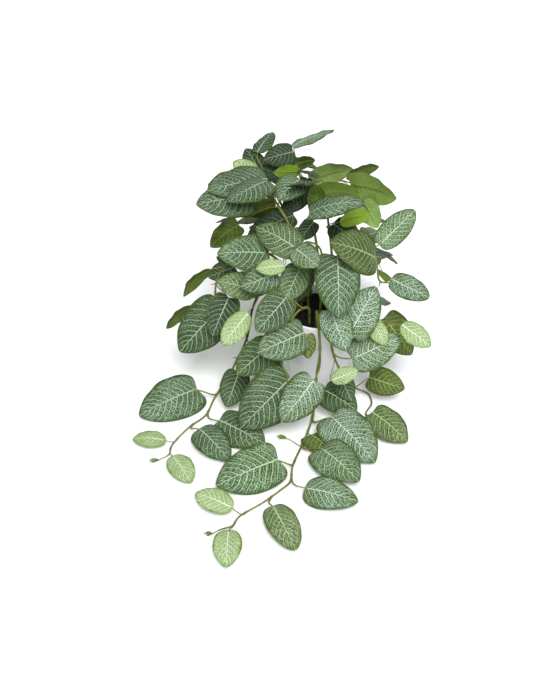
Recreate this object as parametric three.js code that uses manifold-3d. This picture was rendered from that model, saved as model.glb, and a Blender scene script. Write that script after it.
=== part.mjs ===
// A potted nerve plant: a plain tapered pot filled with soil, and leafy stems that rise from
// plain holes in the soil. Some stems arch into a crown over the pot. Others spill over the rim,
// reach the ground and lie along it.
// Millimetres, +Z up. The origin is the middle of the pot's flat base. -Y is the front.
import * as THREE from 'three';
import { mergeVertices } from 'three/addons/utils/BufferGeometryUtils.js';
import Module from 'manifold-3d';

const wasm = await Module();
wasm.setup();

// Driving dimensions of the pot and the soil
const POT_HEIGHT = 102;
const POT_TOP_RADIUS = 46;
const POT_BASE_RADIUS = 34;
const POT_WALL = 2.8;
const POT_FLOOR = 3.2;
const POT_EDGE = 1.2;
const ROUND_SIDES = 36;
const SOIL_DEPTH_BELOW_RIM = 11;
const SOIL_CROWN = 2.5;
const SOIL_SHOULDER = { radius: 0.6, rise: 0.7 };
const SEAT_GAP = 0.3;

// Stems, petioles and blades
const CROWN_STEM_RADIUS = 2.1;
const TRAILING_STEM_RADIUS = 1.8;
const STEM_SIDES = 5;
const STEM_STEP = 17;
const STEM_FOOT_DEPTH = 30;
const STEM_STRAIGHT_ABOVE_SOIL = 8;
const HOLE_SIDES = 8;
const PETIOLE_RADIUS = 1.05;
const PETIOLE_SIDES = 3;
const PETIOLE_STEPS = 2;
const PETIOLE_STEPS_ROUND_A_BEND = 5;
const PETIOLE_BEND_LIMIT = 0.15;
const PETIOLE_SHARE_UNDER_BLADE = 0.1;
const PETIOLE_DROP = 0.55;
const PETIOLE_SETBACK = 10;
const PETIOLE_PULL_AT_STEM = 0.25;
const PETIOLE_BOW_TO_FRONT = 0.3;
const PETIOLE_PULL_AT_LEAF = 0.4;
const BLADE_THICKNESS = 0.8;
const GROUND_GAP = 0.5;

// The outline of a blade is an oval. Beside its base the edge is swept back into a heart's lobes.
const SWEEP_RISE_POWER = 0.7;
const SWEEP_FADE_POWER = 5;
const SWEEP_SIDE_POWER = 1.2;
const DROOP_POWER = 1.6;
const RIPPLE_PHASE_STEP = 0.618;
const BLADE_RIPPLES = 1.5;

// How the kinds of leaf differ: width, height of the arch and ripple as shares of the length, how
// deep the heart's lobes are, how far the edges droop, as a share of the half width, and the powers
// by which the outline rises from the base and falls to the tip, which are less for a blunter end
const ADULT_ROWS = [0.08, 0.3, 0.62, 0.89];
const YOUNG_ROWS = [0.1, 0.42, 0.82];
const BUD_ROWS = [0.4];
const ADULT = { arch: 0.07, ripple: 0.02, heart: 0.95, rise: 0.44, fall: 0.74, rows: ADULT_ROWS };
const SMALL = { ripple: 0.02, heart: 0.4, rise: 0.62, fall: 0.72, rows: YOUNG_ROWS };
const KINDS = {
  net: { ...ADULT, width: 0.74, droop: 0.16 },
  pale: { ...ADULT, width: 0.73, droop: 0.14 },
  dark: { ...ADULT, width: 0.75, droop: 0.18 },
  olive: { ...ADULT, width: 0.75, droop: 0.18 },
  egg: { ...ADULT, width: 0.66, droop: 0.14, heart: 0.3 },
  long: { ...ADULT, width: 0.55, droop: 0.16, heart: 0.4, fall: 0.6 },
  narrow: { ...SMALL, width: 0.42, arch: 0.14, droop: 0.3 },
  young: { ...SMALL, width: 0.6, arch: 0.08, droop: 0.1 },
  bud: { ...SMALL, width: 0.42, arch: 0.1, droop: -0.35, ripple: 0, heart: 0, rows: BUD_ROWS },
};

// No two leaves bend alike: the arch and the droop of each are scaled by its number
const LEAST_BEND = 0.6;
const BEND_SPREAD = 0.9;
const ARCH_STEP = 0.382;
const DROOP_STEP = 0.271;

// Each leaf is [kind, base, tip, lean, toward]. Its upper face leans by lean degrees from level
// toward a compass angle, which is the front unless it is given. A leaf that leans away shows
// its underside to the front.
const FRONT = -90;
const BACK = 90;
const LEFT = 180;

const STEMS = {
  stem_crown_left: {
    foot: [-14, 6],
    route: [[-18, 12, 150], [-38, 22, 203], [-58, 40, 230], [-72, 60, 238]],
    leaves: [
      ['net', [-62, 56, 241], [-128, 16, 248], 14],
      ['net', [-82, 26, 232], [-141, 2, 235], 32],
      ['young', [-70, 70, 235], [-102, 88, 245], 62],
      ['net', [-63, 34, 250], [-104, -8, 246], 0],
      ['dark', [-86, 16, 217], [-117, -6, 227], -40],
      ['dark', [-94, 10, 208], [-126, -4, 187], -85],
      ['dark', [-52, 36, 217], [-96, 46, 203], -75],
      ['dark', [-40, 26, 198], [-84, 16, 190], 58],
      ['dark', [-30, 30, 206], [-62, 14, 192], 56],
      ['bud', [-72, 60, 238], [-82, 68, 243], 0],
    ],
  },
  stem_crown_back_left: {
    foot: [-19, 21],
    route: [[-24, 38, 150], [-45, 65, 200], [-66, 92, 230], [-77, 112, 243]],
    leaves: [
      ['dark', [-68, 98, 221], [-88, 122, 246], 30],
      ['long', [-74, 114, 243], [-53, 150, 247], -34],
      ['net', [-84, 88, 214], [-134, 116, 200], 30, LEFT],
      ['dark', [-55, 88, 198], [-78, 140, 176], 50, BACK],
      ['net', [-40, 68, 172], [-84, 100, 150], 45, 130],
      ['net', [-40, 52, 190], [-99, 50, 186], 30, 160],
    ],
  },
  stem_crown_back: {
    foot: [1, 25],
    route: [[-4, 40, 160], [-16, 62, 213], [-27, 85, 240], [-31, 104, 254]],
    leaves: [
      ['long', [-33, 100, 258], [16, 124, 268], -16],
      ['dark', [-32, 92, 256], [-66, 76, 254], 46],
      ['olive', [-29, 86, 243], [-6, 94, 244], -86],
      ['young', [-24, 64, 245], [-54, 56, 248], -88],
      ['pale', [-25, 56, 238], [-50, 14, 238], 26],
      ['olive', [-9, 37, 246], [-41, 8, 246], -44],
      ['dark', [-22, 104, 232], [-34, 160, 212], 55, BACK],
      ['net', [6, 80, 196], [42, 130, 172], 55, 70],
      ['dark', [-8, 44, 191], [-25, 26, 177], 46],
      ['net', [-20, 60, 222], [-42, 34, 210], 44],
      ['dark', [-40, 92, 222], [-68, 84, 239], 46],
      ['dark', [-17, 60, 241], [-29, 44, 229], 45],
    ],
  },
  stem_crown_right: {
    foot: [16, 13],
    route: [[14, 20, 150], [8, 34, 200], [4, 46, 226], [16, 58, 236], [28, 62, 234]],
    leaves: [
      ['dark', [-12, 74, 228], [38, 84, 238], -72],
      ['narrow', [29, 62, 240], [68, 84, 241], -84],
      ['dark', [-4, 50, 247], [-27, 60, 250], -20],
      ['dark', [-9, 30, 234], [41, 44, 233], -70],
      ['olive', [-4, 22, 224], [-9, 32, 251], -88],
      ['dark', [33, 48, 239], [83, 18, 237], -84],
      ['pale', [-14, 0, 230], [47, -10, 247], 2],
      ['young', [21, 14, 209], [55, 28, 212], -86],
      ['dark', [46, 34, 225], [65, 30, 191], -66],
      ['net', [30, 50, 196], [80, 66, 178], 50, 30],
      ['dark', [15, 30, 196], [43, 2, 184], 54],
    ],
  },
  stem_crown_front: {
    foot: [0, -6],
    route: [[2, -4, 140], [-2, 0, 183], [-16, -8, 196], [-34, -13, 190], [-48, -12, 180]],
    leaves: [
      ['net', [-60, -6, 180], [-118, -16, 186], 40],
      ['young', [-42, -30, 179], [-74, -39, 181], 38],
      ['net', [-28, -12, 190], [-74, 12, 202], 38],
      ['net', [-29, -20, 195], [-5, -54, 194], 44],
      ['net', [18, -20, 186], [22, -82, 150], 56],
      ['dark', [-20, 0, 160], [-30, -26, 126], 58],
      ['dark', [8, -16, 168], [20, -44, 150], 55],
      ['net', [-24, -14, 166], [-42, -50, 145], 54],
      ['net', [-50, -26, 166], [-92, -46, 162], 46],
    ],
  },
  stem_right_upper: {
    foot: [27, -1],
    route: [[32, -2, 140], [44, 2, 170], [58, 5, 177], [64, -2, 160], [68, -8, 143], [80, -8, 141]],
    leaves: [
      ['long', [67, 14, 178], [108, 40, 209], 50],
      ['olive', [60, -2, 171], [4, -24, 204], 40],
      ['long', [81, -7, 145], [124, -34, 135], 44],
      ['net', [50, 20, 160], [84, 58, 138], 55, 60],
      ['bud', [80, -8, 141], [90, -4, 147], 0],
    ],
  },
  stem_right_low: {
    foot: [21, -15],
    route: [[30, -26, 128], [44, -34, 124], [58, -38, 113], [76, -32, 102], [92, -28, 94],
      [104, -36, 84]],
    leaves: [
      ['olive', [77, 2, 83], [110, -22, 46], 44],
      ['young', [56, -44, 116], [74, -60, 90], 50],
      ['young', [92, -50, 112], [124, -70, 96], 50],
      ['net', [60, 6, 108], [80, 42, 82], 55, 50],
    ],
  },
  stem_right_front: {
    foot: [8, -23],
    route: [[9, -36, 118], [11, -51, 108], [13, -55, 80], [24, -52, 46], [42, -47, 16],
      [58, -44, 4.5], [62, -60, 2.6], [54, -80, 2.6], [66, -96, 2.6]],
    leaves: [
      ['pale', [32, -62, 108], [61, -36, 155], 52],
      ['pale', [10, -48, 132], [28, -76, 94], 60],
      ['pale', [36, -62, 72], [92, -50, 94], 52],
      ['olive', [59, -42, 28], [100, -60, 25], 54],
      ['young', [12, -88, 61], [42, -84, 73], 52],
      ['net', [60, -94, 18], [98, -132, 6], 20],
      ['dark', [23, -62, 46], [37, -84, 25], 44],
      ['bud', [66, -96, 3], [74, -104, 5], 0],
    ],
  },
  stem_centre_trailing: {
    foot: [-5, -27],
    route: [[-5, -36, 120], [-3, -50, 107], [-1, -55, 76], [-4, -54, 44], [-6, -62, 15],
      [-8, -80, 3.4], [-18, -121, 2.6], [-33, -168, 2.6], [-36, -193, 2.6], [-45, -204, 2.6],
      [-66, -225, 2.6], [-91, -246, 2.6], [-98, -259, 2.6], [-110, -264, 2.6], [-118, -270, 2.6]],
    leaves: [
      ['dark', [4, -62, 26], [40, -98, 27], 36],
      ['pale', [-9, -98, 69], [-46, -127, 32], 52],
      ['pale', [12, -104, 20], [59, -166, 8], 18],
      ['net', [-1, -149, 11], [40, -201, 10], 12],
      ['egg', [-20, -209, 9], [37, -231, 10], 18],
      ['olive', [-15, -120, 3], [-2, -166, 1], 4],
      ['net', [-49, -172, 17], [-117, -206, 9], 26],
      ['young', [-98, -240, 10], [-139, -219, 11], 22],
      ['young', [-101, -268, 6], [-102, -319, 5], 12],
      ['long', [-55, -238, 11], [-31, -296, 6], 14],
      ['bud', [-118, -270, 3], [-127, -273, 5], 0],
      ['bud', [-40, -122, 3.6], [-51, -121, 5], 0],
    ],
  },
  stem_left_trailing: {
    foot: [-21, -7],
    route: [[-30, -6, 138], [-52, -3, 144], [-70, -2, 124], [-80, -5, 100], [-84, -11, 76],
      [-90, -15, 55], [-100, -20, 34], [-110, -28, 16], [-125, -50, 3.6], [-135, -82, 2.6],
      [-153, -103, 2.6], [-171, -135, 2.6], [-173, -149, 2.6], [-184, -158, 2.6]],
    leaves: [
      ['young', [-84, -42, 122], [-113, -64, 93], 52],
      ['dark', [-76, -22, 54], [-48, -64, 38], 46],
      ['dark', [-96, -40, 34], [-110, -76, 10], 42],
      ['pale', [-146, -47, 14], [-212, -88, 7], 28],
      ['young', [-178, -130, 6], [-216, -127, 6], 14],
      ['young', [-168, -154, 5], [-145, -196, 4], 14],
      ['egg', [-140, -117, 13], [-104, -163, 6], 16],
      ['net', [-118, -100, 11], [-65, -137, 12], 18],
      ['bud', [-184, -158, 3], [-194, -163, 5], 0],
    ],
  },
  stem_front_left: {
    foot: [-13, -21],
    route: [[-15, -34, 124], [-25, -45, 129], [-35, -52, 118], [-41, -62, 98], [-45, -74, 78],
      [-41, -82, 70]],
    leaves: [
      ['net', [-40, -47, 148], [-74, -77, 122], 52],
      ['pale', [-20, -60, 108], [-73, -90, 102], 50],
      ['olive', [-17, -58, 104], [-15, -72, 80], 72],
      ['net', [-35, -84, 60], [-90, -116, 9], 52],
      ['dark', [-58, -62, 92], [-96, -84, 66], 52],
    ],
  },
  stem_left_low: {
    foot: [-27, 5],
    route: [[-40, 8, 148], [-66, 6, 174], [-92, 0, 170], [-112, -4, 158], [-121, -10, 140],
      [-122, -14, 118]],
    leaves: [
      ['narrow', [-125, -10, 160], [-158, -22, 131], -62],
      ['dark', [-104, 26, 147], [-122, 32, 150], 40],
      ['net', [-78, -28, 146], [-118, -32, 160], 46],
      ['olive', [-116, -10, 109], [-165, -38, 63], 52],
      ['narrow', [-150, 0, 102], [-182, -10, 76], -70],
      ['dark', [-106, -26, 133], [-125, -50, 96], 56],
      ['dark', [-100, 14, 148], [-131, 6, 139], 50],
      ['net', [-60, -14, 158], [-96, -22, 132], 58],
    ],
  },
  stem_back_left: {
    foot: [-10, 34],
    route: [[-20, 52, 140], [-42, 82, 148], [-62, 106, 128], [-74, 122, 98], [-80, 130, 66]],
    leaves: [
      ['net', [-34, 86, 150], [-22, 134, 122], 60, BACK],
      ['dark', [-62, 96, 140], [-112, 100, 116], 50, 150],
      ['net', [-60, 120, 118], [-46, 164, 84], 60, BACK],
      ['net', [-82, 118, 98], [-126, 122, 66], 55, 150],
      ['young', [-74, 134, 76], [-62, 158, 46], 60, BACK],
      ['net', [-88, 132, 62], [-122, 158, 24], 55, 130],
      ['young', [-80, 132, 60], [-82, 150, 24], 60, BACK],
    ],
  },
  stem_back_right: {
    foot: [13, 32],
    route: [[24, 54, 142], [46, 82, 150], [64, 104, 130], [74, 118, 102], [78, 126, 74]],
    leaves: [
      ['dark', [34, 88, 152], [24, 138, 126], 60, BACK],
      ['net', [60, 92, 142], [84, 126, 120], 50, 30],
      ['net', [58, 118, 122], [48, 166, 92], 60, BACK],
      ['dark', [82, 118, 100], [96, 152, 66], 55, 40],
      ['net', [68, 134, 82], [58, 166, 46], 60, BACK],
      ['young', [84, 126, 66], [90, 148, 36], 55, 50],
      ['net', [42, 46, 149], [74, 70, 122], 50, 20],
    ],
  },
};

// The rule that bends leaves clear of each other, of the stems, the pot and the ground
const CLEAR_ROUNDS = 90;
const CLEAR_GAP = 2.2;
const CLEAR_RATE = 0.55;
const CLEAR_SHIFT = 0.4;
const CLEAR_EDGE = 1.5;
const CLEAR_REACH = 0.6;
const FREE_BASE = 0.12;
const POT_CLEARANCE = 2.5;
const SAMPLE_ROWS = [0.1, 0.3, 0.5, 0.7, 0.88, 1];
const SAMPLE_SIDES = [-0.9, 0, 0.9];
const STEM_SAMPLE_STEP = 6;
const PETIOLE_SAMPLES = [0.3, 0.6, 0.85];
const POT_RING_SHARES = [1, 0.75, 0.5, 0.25];
const POT_RING_POINTS = 24;

const COLOURS = {
  pot: 0xe9e9ea,
  soil: 0x241d18,
  leaves: 0x55754f,
};

const SOIL_TOP = POT_HEIGHT - SOIL_DEPTH_BELOW_RIM;
const RADIANS = Math.PI / 180;

// The pot's outer radius at a height
function potRadius(height) {
  const share = THREE.MathUtils.clamp(height / POT_HEIGHT, 0, 1);
  return POT_BASE_RADIUS + (POT_TOP_RADIUS - POT_BASE_RADIUS) * share;
}

function lathe(profile) {
  const points = profile.map(([radius, height]) => new THREE.Vector2(radius, height));
  const geometry = new THREE.LatheGeometry(points, ROUND_SIDES);
  return geometry.rotateX(Math.PI / 2);
}

function toSolid(geometry) {
  const bare = geometry.clone();
  bare.deleteAttribute('normal');
  bare.deleteAttribute('uv');
  const merged = mergeVertices(bare, 1e-4);
  const mesh = new wasm.Mesh({
    numProp: 3,
    vertProperties: new Float32Array(merged.attributes.position.array),
    triVerts: new Uint32Array(merged.index.array),
  });
  return new wasm.Manifold(mesh);
}

function toGeometry(solid) {
  const mesh = solid.getMesh();
  const geometry = new THREE.BufferGeometry();
  geometry.setAttribute('position', new THREE.BufferAttribute(mesh.vertProperties, 3));
  geometry.setIndex(new THREE.BufferAttribute(mesh.triVerts, 1));
  geometry.computeVertexNormals();
  return geometry;
}

function named(name, geometry, colour, roughness) {
  const material = new THREE.MeshStandardMaterial({ color: colour, roughness, metalness: 0 });
  const mesh = new THREE.Mesh(geometry, material);
  mesh.name = name;
  return mesh;
}

// One closed profile: up the outside, over the rounded rim and down the inside
function potGeometry() {
  const innerTop = POT_TOP_RADIUS - POT_WALL;
  const innerBase = POT_BASE_RADIUS - POT_WALL + (POT_TOP_RADIUS - POT_BASE_RADIUS) *
    (POT_FLOOR / POT_HEIGHT);
  return lathe([
    [0, 0],
    [POT_BASE_RADIUS - POT_EDGE, 0],
    [potRadius(POT_EDGE), POT_EDGE],
    [potRadius(POT_HEIGHT - POT_EDGE), POT_HEIGHT - POT_EDGE],
    [POT_TOP_RADIUS - POT_WALL / 2, POT_HEIGHT],
    [innerTop, POT_HEIGHT - POT_EDGE],
    [innerBase, POT_FLOOR],
    [0, POT_FLOOR],
  ]);
}

// The soil fills the pot to a low crown, with one plain hole for each stem
function soilGeometry(stems) {
  const bottom = POT_FLOOR + SEAT_GAP;
  const sideGap = POT_WALL + SEAT_GAP;
  let soil = toSolid(lathe([
    [0, bottom],
    [potRadius(bottom) - sideGap, bottom],
    [potRadius(SOIL_TOP) - sideGap, SOIL_TOP],
    [potRadius(SOIL_TOP) * SOIL_SHOULDER.radius, SOIL_TOP + SOIL_CROWN * SOIL_SHOULDER.rise],
    [0, SOIL_TOP + SOIL_CROWN],
  ]));
  for (const stem of stems) {
    const radius = (stem.radius + SEAT_GAP) / Math.cos(Math.PI / HOLE_SIDES);
    const depth = STEM_FOOT_DEPTH + SEAT_GAP;
    const height = depth + SOIL_CROWN * 2;
    const hole = new THREE.CylinderGeometry(radius, radius, height, HOLE_SIDES);
    hole.rotateX(Math.PI / 2);
    hole.translate(stem.foot[0], stem.foot[1], SOIL_TOP - depth + height / 2);
    soil = soil.subtract(toSolid(hole));
  }
  return toGeometry(soil);
}

function tube(curve, radius, sides, steps) {
  const section = new THREE.Shape();
  for (let side = 0; side < sides; side += 1) {
    const angle = (side / sides) * 2 * Math.PI;
    const point = [radius * Math.cos(angle), radius * Math.sin(angle)];
    if (side === 0) section.moveTo(...point);
    else section.lineTo(...point);
  }
  section.closePath();
  return new THREE.ExtrudeGeometry(section, { extrudePath: curve, steps, bevelEnabled: false });
}

// The half width of a blade at a share of its length
function halfWidth(leaf, along) {
  const shape = (share) => share ** leaf.rise * (1 - share) ** leaf.fall;
  const widest = shape(leaf.rise / (leaf.rise + leaf.fall));
  return (leaf.width * shape(THREE.MathUtils.clamp(along, 0, 1))) / (2 * widest);
}

// The height of a blade over its chord, in the leaf's own directions
function lift(leaf, along, across) {
  const arch = 4 * leaf.arch * leaf.length * along * (1 - along);
  const droop = leaf.droop * halfWidth(leaf, along) * Math.abs(across) ** DROOP_POWER;
  const wave = Math.sin(2 * Math.PI * (BLADE_RIPPLES * along + leaf.phase * Math.sign(across)));
  const fade = Math.sin(Math.PI * along) * across * across;
  return arch - droop + leaf.ripple * leaf.length * wave * fade;
}

// A point of the blade's middle surface, at a share of the length and from -1 to 1 across
function bladePoint(leaf, along, across, raise = 0) {
  const lobe = along ** SWEEP_RISE_POWER * (1 - along) ** SWEEP_FADE_POWER;
  const sweep = leaf.heart * lobe * Math.abs(across) ** SWEEP_SIDE_POWER;
  const slope = 4 * leaf.arch * (1 - 2 * along);
  const tilt = 1 / Math.hypot(1, slope);
  return leaf.base.clone()
    .addScaledVector(leaf.along, leaf.length * (along - sweep) - raise * slope * tilt)
    .addScaledVector(leaf.side, halfWidth(leaf, along) * across)
    .addScaledVector(leaf.up, lift(leaf, along, across) + raise * tilt);
}

// A closed blade: both faces have the same triangles, and a wall joins their edges
function bladeGeometry(leaf) {
  const grid = [[0, 0]];
  for (const along of leaf.rows) {
    for (const across of [-1, 0, 1]) grid.push([along, across]);
  }
  grid.push([1, 0]);
  const last = grid.length - 1;
  const faces = [[0, 2, 1], [0, 3, 2], [last, last - 3, last - 2], [last, last - 2, last - 1]];
  for (let row = 1; row < last - 3; row += 3) {
    for (const corner of [row, row + 1]) {
      faces.push([corner, corner + 1, corner + 4], [corner, corner + 4, corner + 3]);
    }
  }
  const rim = [0];
  for (let row = 3; row < last; row += 3) rim.push(row);
  rim.push(last);
  for (let row = last - 3; row > 0; row -= 3) rim.push(row);

  const positions = [];
  for (const raise of [BLADE_THICKNESS / 2, -BLADE_THICKNESS / 2]) {
    for (const [along, across] of grid) {
      positions.push(...bladePoint(leaf, along, across, raise).toArray());
    }
  }
  const index = [];
  const under = grid.length;
  for (const [a, b, c] of faces) {
    index.push(a, c, b);
    index.push(under + a, under + b, under + c);
  }
  rim.forEach((start, place) => {
    const end = rim[(place + 1) % rim.length];
    index.push(start, under + end, under + start);
    index.push(start, end, under + end);
  });
  const geometry = new THREE.BufferGeometry();
  geometry.setAttribute('position', new THREE.Float32BufferAttribute(positions, 3));
  geometry.setIndex(index);
  return geometry;
}

// The leaf's own directions: along from base to tip, up out of its upper face, side to its left
function makeLeaf([kind, base, tip, lean, toward = FRONT], number) {
  const start = new THREE.Vector3(...base);
  const along = new THREE.Vector3(...tip).sub(start);
  const length = along.length();
  along.normalize();
  const tilt = lean * RADIANS;
  const compass = toward * RADIANS;
  const up = new THREE.Vector3(
    Math.sin(tilt) * Math.cos(compass),
    Math.sin(tilt) * Math.sin(compass),
    Math.cos(tilt),
  );
  up.addScaledVector(along, -up.dot(along)).normalize();
  const leaf = { base: start, along, up, length, ...KINDS[kind] };
  leaf.width *= length;
  leaf.phase = (number * RIPPLE_PHASE_STEP) % 1;
  leaf.arch *= LEAST_BEND + BEND_SPREAD * ((number * ARCH_STEP) % 1);
  leaf.droop *= LEAST_BEND + BEND_SPREAD * ((number * DROOP_STEP) % 1);
  leaf.side = up.clone().cross(along);
  return leaf;
}

function makeStem([name, plan]) {
  const [x, y] = plan.foot;
  const trailing = name.includes('trailing') || name.includes('front');
  const radius = trailing ? TRAILING_STEM_RADIUS : CROWN_STEM_RADIUS;
  const bow = trailing ? PETIOLE_BOW_TO_FRONT : 0;
  const points = [
    [x, y, SOIL_TOP - STEM_FOOT_DEPTH],
    [x, y, SOIL_TOP - STEM_FOOT_DEPTH / 2],
    [x, y, SOIL_TOP + SOIL_CROWN],
    [x, y, SOIL_TOP + SOIL_CROWN + STEM_STRAIGHT_ABOVE_SOIL],
    ...plan.route,
  ].map((point) => new THREE.Vector3(...point));
  const curve = new THREE.CatmullRomCurve3(points, false, 'centripetal');
  const steps = Math.round(curve.getLength() / STEM_STEP);
  const samples = curve.getSpacedPoints(Math.round(curve.getLength() / STEM_SAMPLE_STEP));
  return { name, foot: plan.foot, radius, bow, curve, steps, samples, leaves: [] };
}

// A petiole leaves the stem a little below the point nearest to the leaf, and runs into the
// leaf's midrib from behind and below. One that leaves a trailing stem bows to the front first.
function petioleCurve(stem, leaf) {
  const reach = Math.min(PETIOLE_SETBACK, leaf.length / 4);
  const lowest = stem.samples.findIndex((sample) => sample.z > POT_HEIGHT);
  let nearest = lowest;
  stem.samples.forEach((sample, place) => {
    const best = stem.samples[nearest].distanceTo(leaf.home);
    if (place > lowest && sample.distanceTo(leaf.home) < best) nearest = place;
  });
  const place = Math.max(nearest - Math.round(reach / STEM_SAMPLE_STEP), lowest);
  const root = stem.samples[place];
  const rise = stem.samples[place].clone().sub(stem.samples[place - 1]).normalize();
  const end = bladePoint(leaf, PETIOLE_SHARE_UNDER_BLADE, 0, -PETIOLE_DROP);
  const span = root.distanceTo(end);
  const bow = new THREE.Vector3(0, -span * stem.bow, 0);
  return new THREE.CubicBezierCurve3(
    root.clone(),
    root.clone().addScaledVector(rise, span * PETIOLE_PULL_AT_STEM).add(bow),
    end.clone().addScaledVector(leaf.along, -span * PETIOLE_PULL_AT_LEAF),
    end,
  );
}

// True where a petiole turns far round between its root and its leaf
function bendsHard(curve) {
  const straight = curve.v3.clone().sub(curve.v0).normalize();
  const first = curve.v1.clone().sub(curve.v0).normalize();
  const last = curve.v3.clone().sub(curve.v2).normalize();
  return Math.min(straight.dot(first), straight.dot(last)) < PETIOLE_BEND_LIMIT;
}

// Where a place lies over a blade: share along it, distance across and height over its surface
function placeOver(leaf, point) {
  const local = point.clone().sub(leaf.base);
  const along = local.dot(leaf.along) / leaf.length;
  const across = local.dot(leaf.side);
  const edge = halfWidth(leaf, along);
  const inside = along > 0 && along < 1 && Math.abs(across) < edge + CLEAR_EDGE;
  if (!inside) return null;
  const share = THREE.MathUtils.clamp(across / (edge + 1e-9), -1, 1);
  const height = local.dot(leaf.up) - lift(leaf, along, share);
  return { along, across, edge, height };
}

function push(leaf, point, by) {
  const arm = point.clone().sub(leaf.base);
  leaf.turn.add(arm.clone().cross(by));
  leaf.lever += arm.lengthSq();
  leaf.shift.add(by);
  leaf.pushes += 1;
}

// Where two blades are closer than the gap, each is pushed to its own side of the other
function partLeaves(leaf, other) {
  const reach = (leaf.length + other.length) * CLEAR_REACH;
  if (leaf.middle.distanceTo(other.middle) > reach) return;
  const over = [];
  let balance = 0;
  for (const point of leaf.samples) {
    const place = placeOver(other, point);
    if (place) {
      over.push([point, place.height]);
      balance += place.height;
    }
  }
  const side = balance < 0 ? -1 : 1;
  for (const [point, height] of over) {
    const short = CLEAR_GAP - side * height;
    if (short > 0) {
      const by = other.up.clone().multiplyScalar((side * short) / 2);
      push(leaf, point, by);
      push(other, point, by.negate());
    }
  }
}

// A stem or petiole that runs through a blade pushes it sideways. One that is only close to it
// pushes it off.
function clearOfLine(leaf, line, gap) {
  const places = line.map((point) => placeOver(leaf, point));
  places.forEach((place, number) => {
    if (!place || place.along < FREE_BASE) return;
    const next = places[number + 1];
    if (next && place.height * next.height < 0) {
      const way = place.across < 0 ? 1 : -1;
      const short = place.edge - Math.abs(place.across) + gap;
      push(leaf, line[number], leaf.side.clone().multiplyScalar(way * short));
    } else if (Math.abs(place.height) < gap) {
      const way = place.height < 0 ? 1 : -1;
      const short = gap - Math.abs(place.height);
      push(leaf, line[number], leaf.up.clone().multiplyScalar(way * short));
    }
  });
}

// A blade stays over the ground and outside the pot's wall
function clearOfPotAndGround(leaf, potRings) {
  for (const point of leaf.samples) {
    const low = GROUND_GAP + BLADE_THICKNESS - point.z;
    if (low > 0) push(leaf, point, new THREE.Vector3(0, 0, low));
    const radius = Math.hypot(point.x, point.y);
    const inside = potRadius(point.z) + POT_CLEARANCE - radius;
    if (inside > 0 && point.z < POT_HEIGHT + POT_CLEARANCE) {
      const outward = new THREE.Vector3(point.x, point.y, 0).multiplyScalar(inside / radius);
      const upward = new THREE.Vector3(0, 0, POT_HEIGHT + POT_CLEARANCE - point.z);
      push(leaf, point, outward.length() < upward.length() ? outward : upward);
    }
  }
  for (const { point, outward } of potRings) {
    const place = placeOver(leaf, point);
    if (place && Math.abs(place.height) < leaf.width) {
      const way = leaf.up.dot(outward) < 0 ? -1 : 1;
      const short = POT_CLEARANCE + way * place.height;
      if (short > 0) push(leaf, point, leaf.up.clone().multiplyScalar(way * short));
    }
  }
}

function refresh(leaf, stem) {
  leaf.side = leaf.up.clone().cross(leaf.along);
  leaf.samples = [];
  for (const along of SAMPLE_ROWS) {
    for (const across of along === 1 ? [0] : SAMPLE_SIDES) {
      leaf.samples.push(bladePoint(leaf, along, across));
    }
  }
  leaf.middle = bladePoint(leaf, 0.5, 0);
  const curve = petioleCurve(stem, leaf);
  leaf.petiole = PETIOLE_SAMPLES.map((share) => curve.getPoint(share));
  leaf.turn = new THREE.Vector3();
  leaf.shift = new THREE.Vector3();
  leaf.lever = 1;
  leaf.pushes = 0;
}

function settle(leaf) {
  if (leaf.pushes === 0) return;
  leaf.base.addScaledVector(leaf.shift, (CLEAR_RATE * CLEAR_SHIFT) / leaf.pushes);
  const angle = (CLEAR_RATE * leaf.turn.length()) / leaf.lever;
  const axis = leaf.turn.clone().normalize();
  leaf.along.applyAxisAngle(axis, angle);
  leaf.up.applyAxisAngle(axis, angle);
}

function potRingPoints() {
  const rings = [];
  for (const share of POT_RING_SHARES) {
    const height = POT_HEIGHT * share;
    for (let side = 0; side < POT_RING_POINTS; side += 1) {
      const angle = (side / POT_RING_POINTS) * 2 * Math.PI;
      const outward = new THREE.Vector3(Math.cos(angle), Math.sin(angle), 0);
      const point = outward.clone().multiplyScalar(potRadius(height)).setZ(height);
      if (share === 1) outward.setZ(1);
      rings.push({ point, outward });
    }
  }
  return rings;
}

function bendClear(stems) {
  const rings = potRingPoints();
  const pairs = stems.flatMap((stem) => stem.leaves.map((leaf) => [leaf, stem]));
  for (let round = 0; round < CLEAR_ROUNDS; round += 1) {
    for (const [leaf, stem] of pairs) refresh(leaf, stem);
    for (const [leaf] of pairs) {
      for (const [other] of pairs) {
        if (other !== leaf) {
          partLeaves(leaf, other);
          clearOfLine(leaf, other.petiole, CLEAR_GAP);
        }
      }
      for (const stem of stems) clearOfLine(leaf, stem.samples, CLEAR_GAP + stem.radius);
      clearOfPotAndGround(leaf, rings);
    }
    for (const [leaf] of pairs) settle(leaf);
  }
  for (const [leaf, stem] of pairs) refresh(leaf, stem);
}

// Stem, petioles and blades joined in one solid
function stemGeometry(stem) {
  let solid = toSolid(tube(stem.curve, stem.radius, STEM_SIDES, stem.steps));
  for (const leaf of stem.leaves) {
    const curve = petioleCurve(stem, leaf);
    const steps = bendsHard(curve) ? PETIOLE_STEPS_ROUND_A_BEND : PETIOLE_STEPS;
    solid = solid.add(toSolid(tube(curve, PETIOLE_RADIUS, PETIOLE_SIDES, steps)));
    solid = solid.add(toSolid(bladeGeometry(leaf)));
  }
  return toGeometry(solid);
}

function makePlant() {
  const stems = Object.entries(STEMS).map(makeStem);
  let number = 0;
  for (const stem of stems) {
    for (const row of STEMS[stem.name].leaves) {
      const leaf = makeLeaf(row, number);
      leaf.home = leaf.base.clone();
      stem.leaves.push(leaf);
      number += 1;
    }
  }
  bendClear(stems);
  return stems;
}

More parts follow.
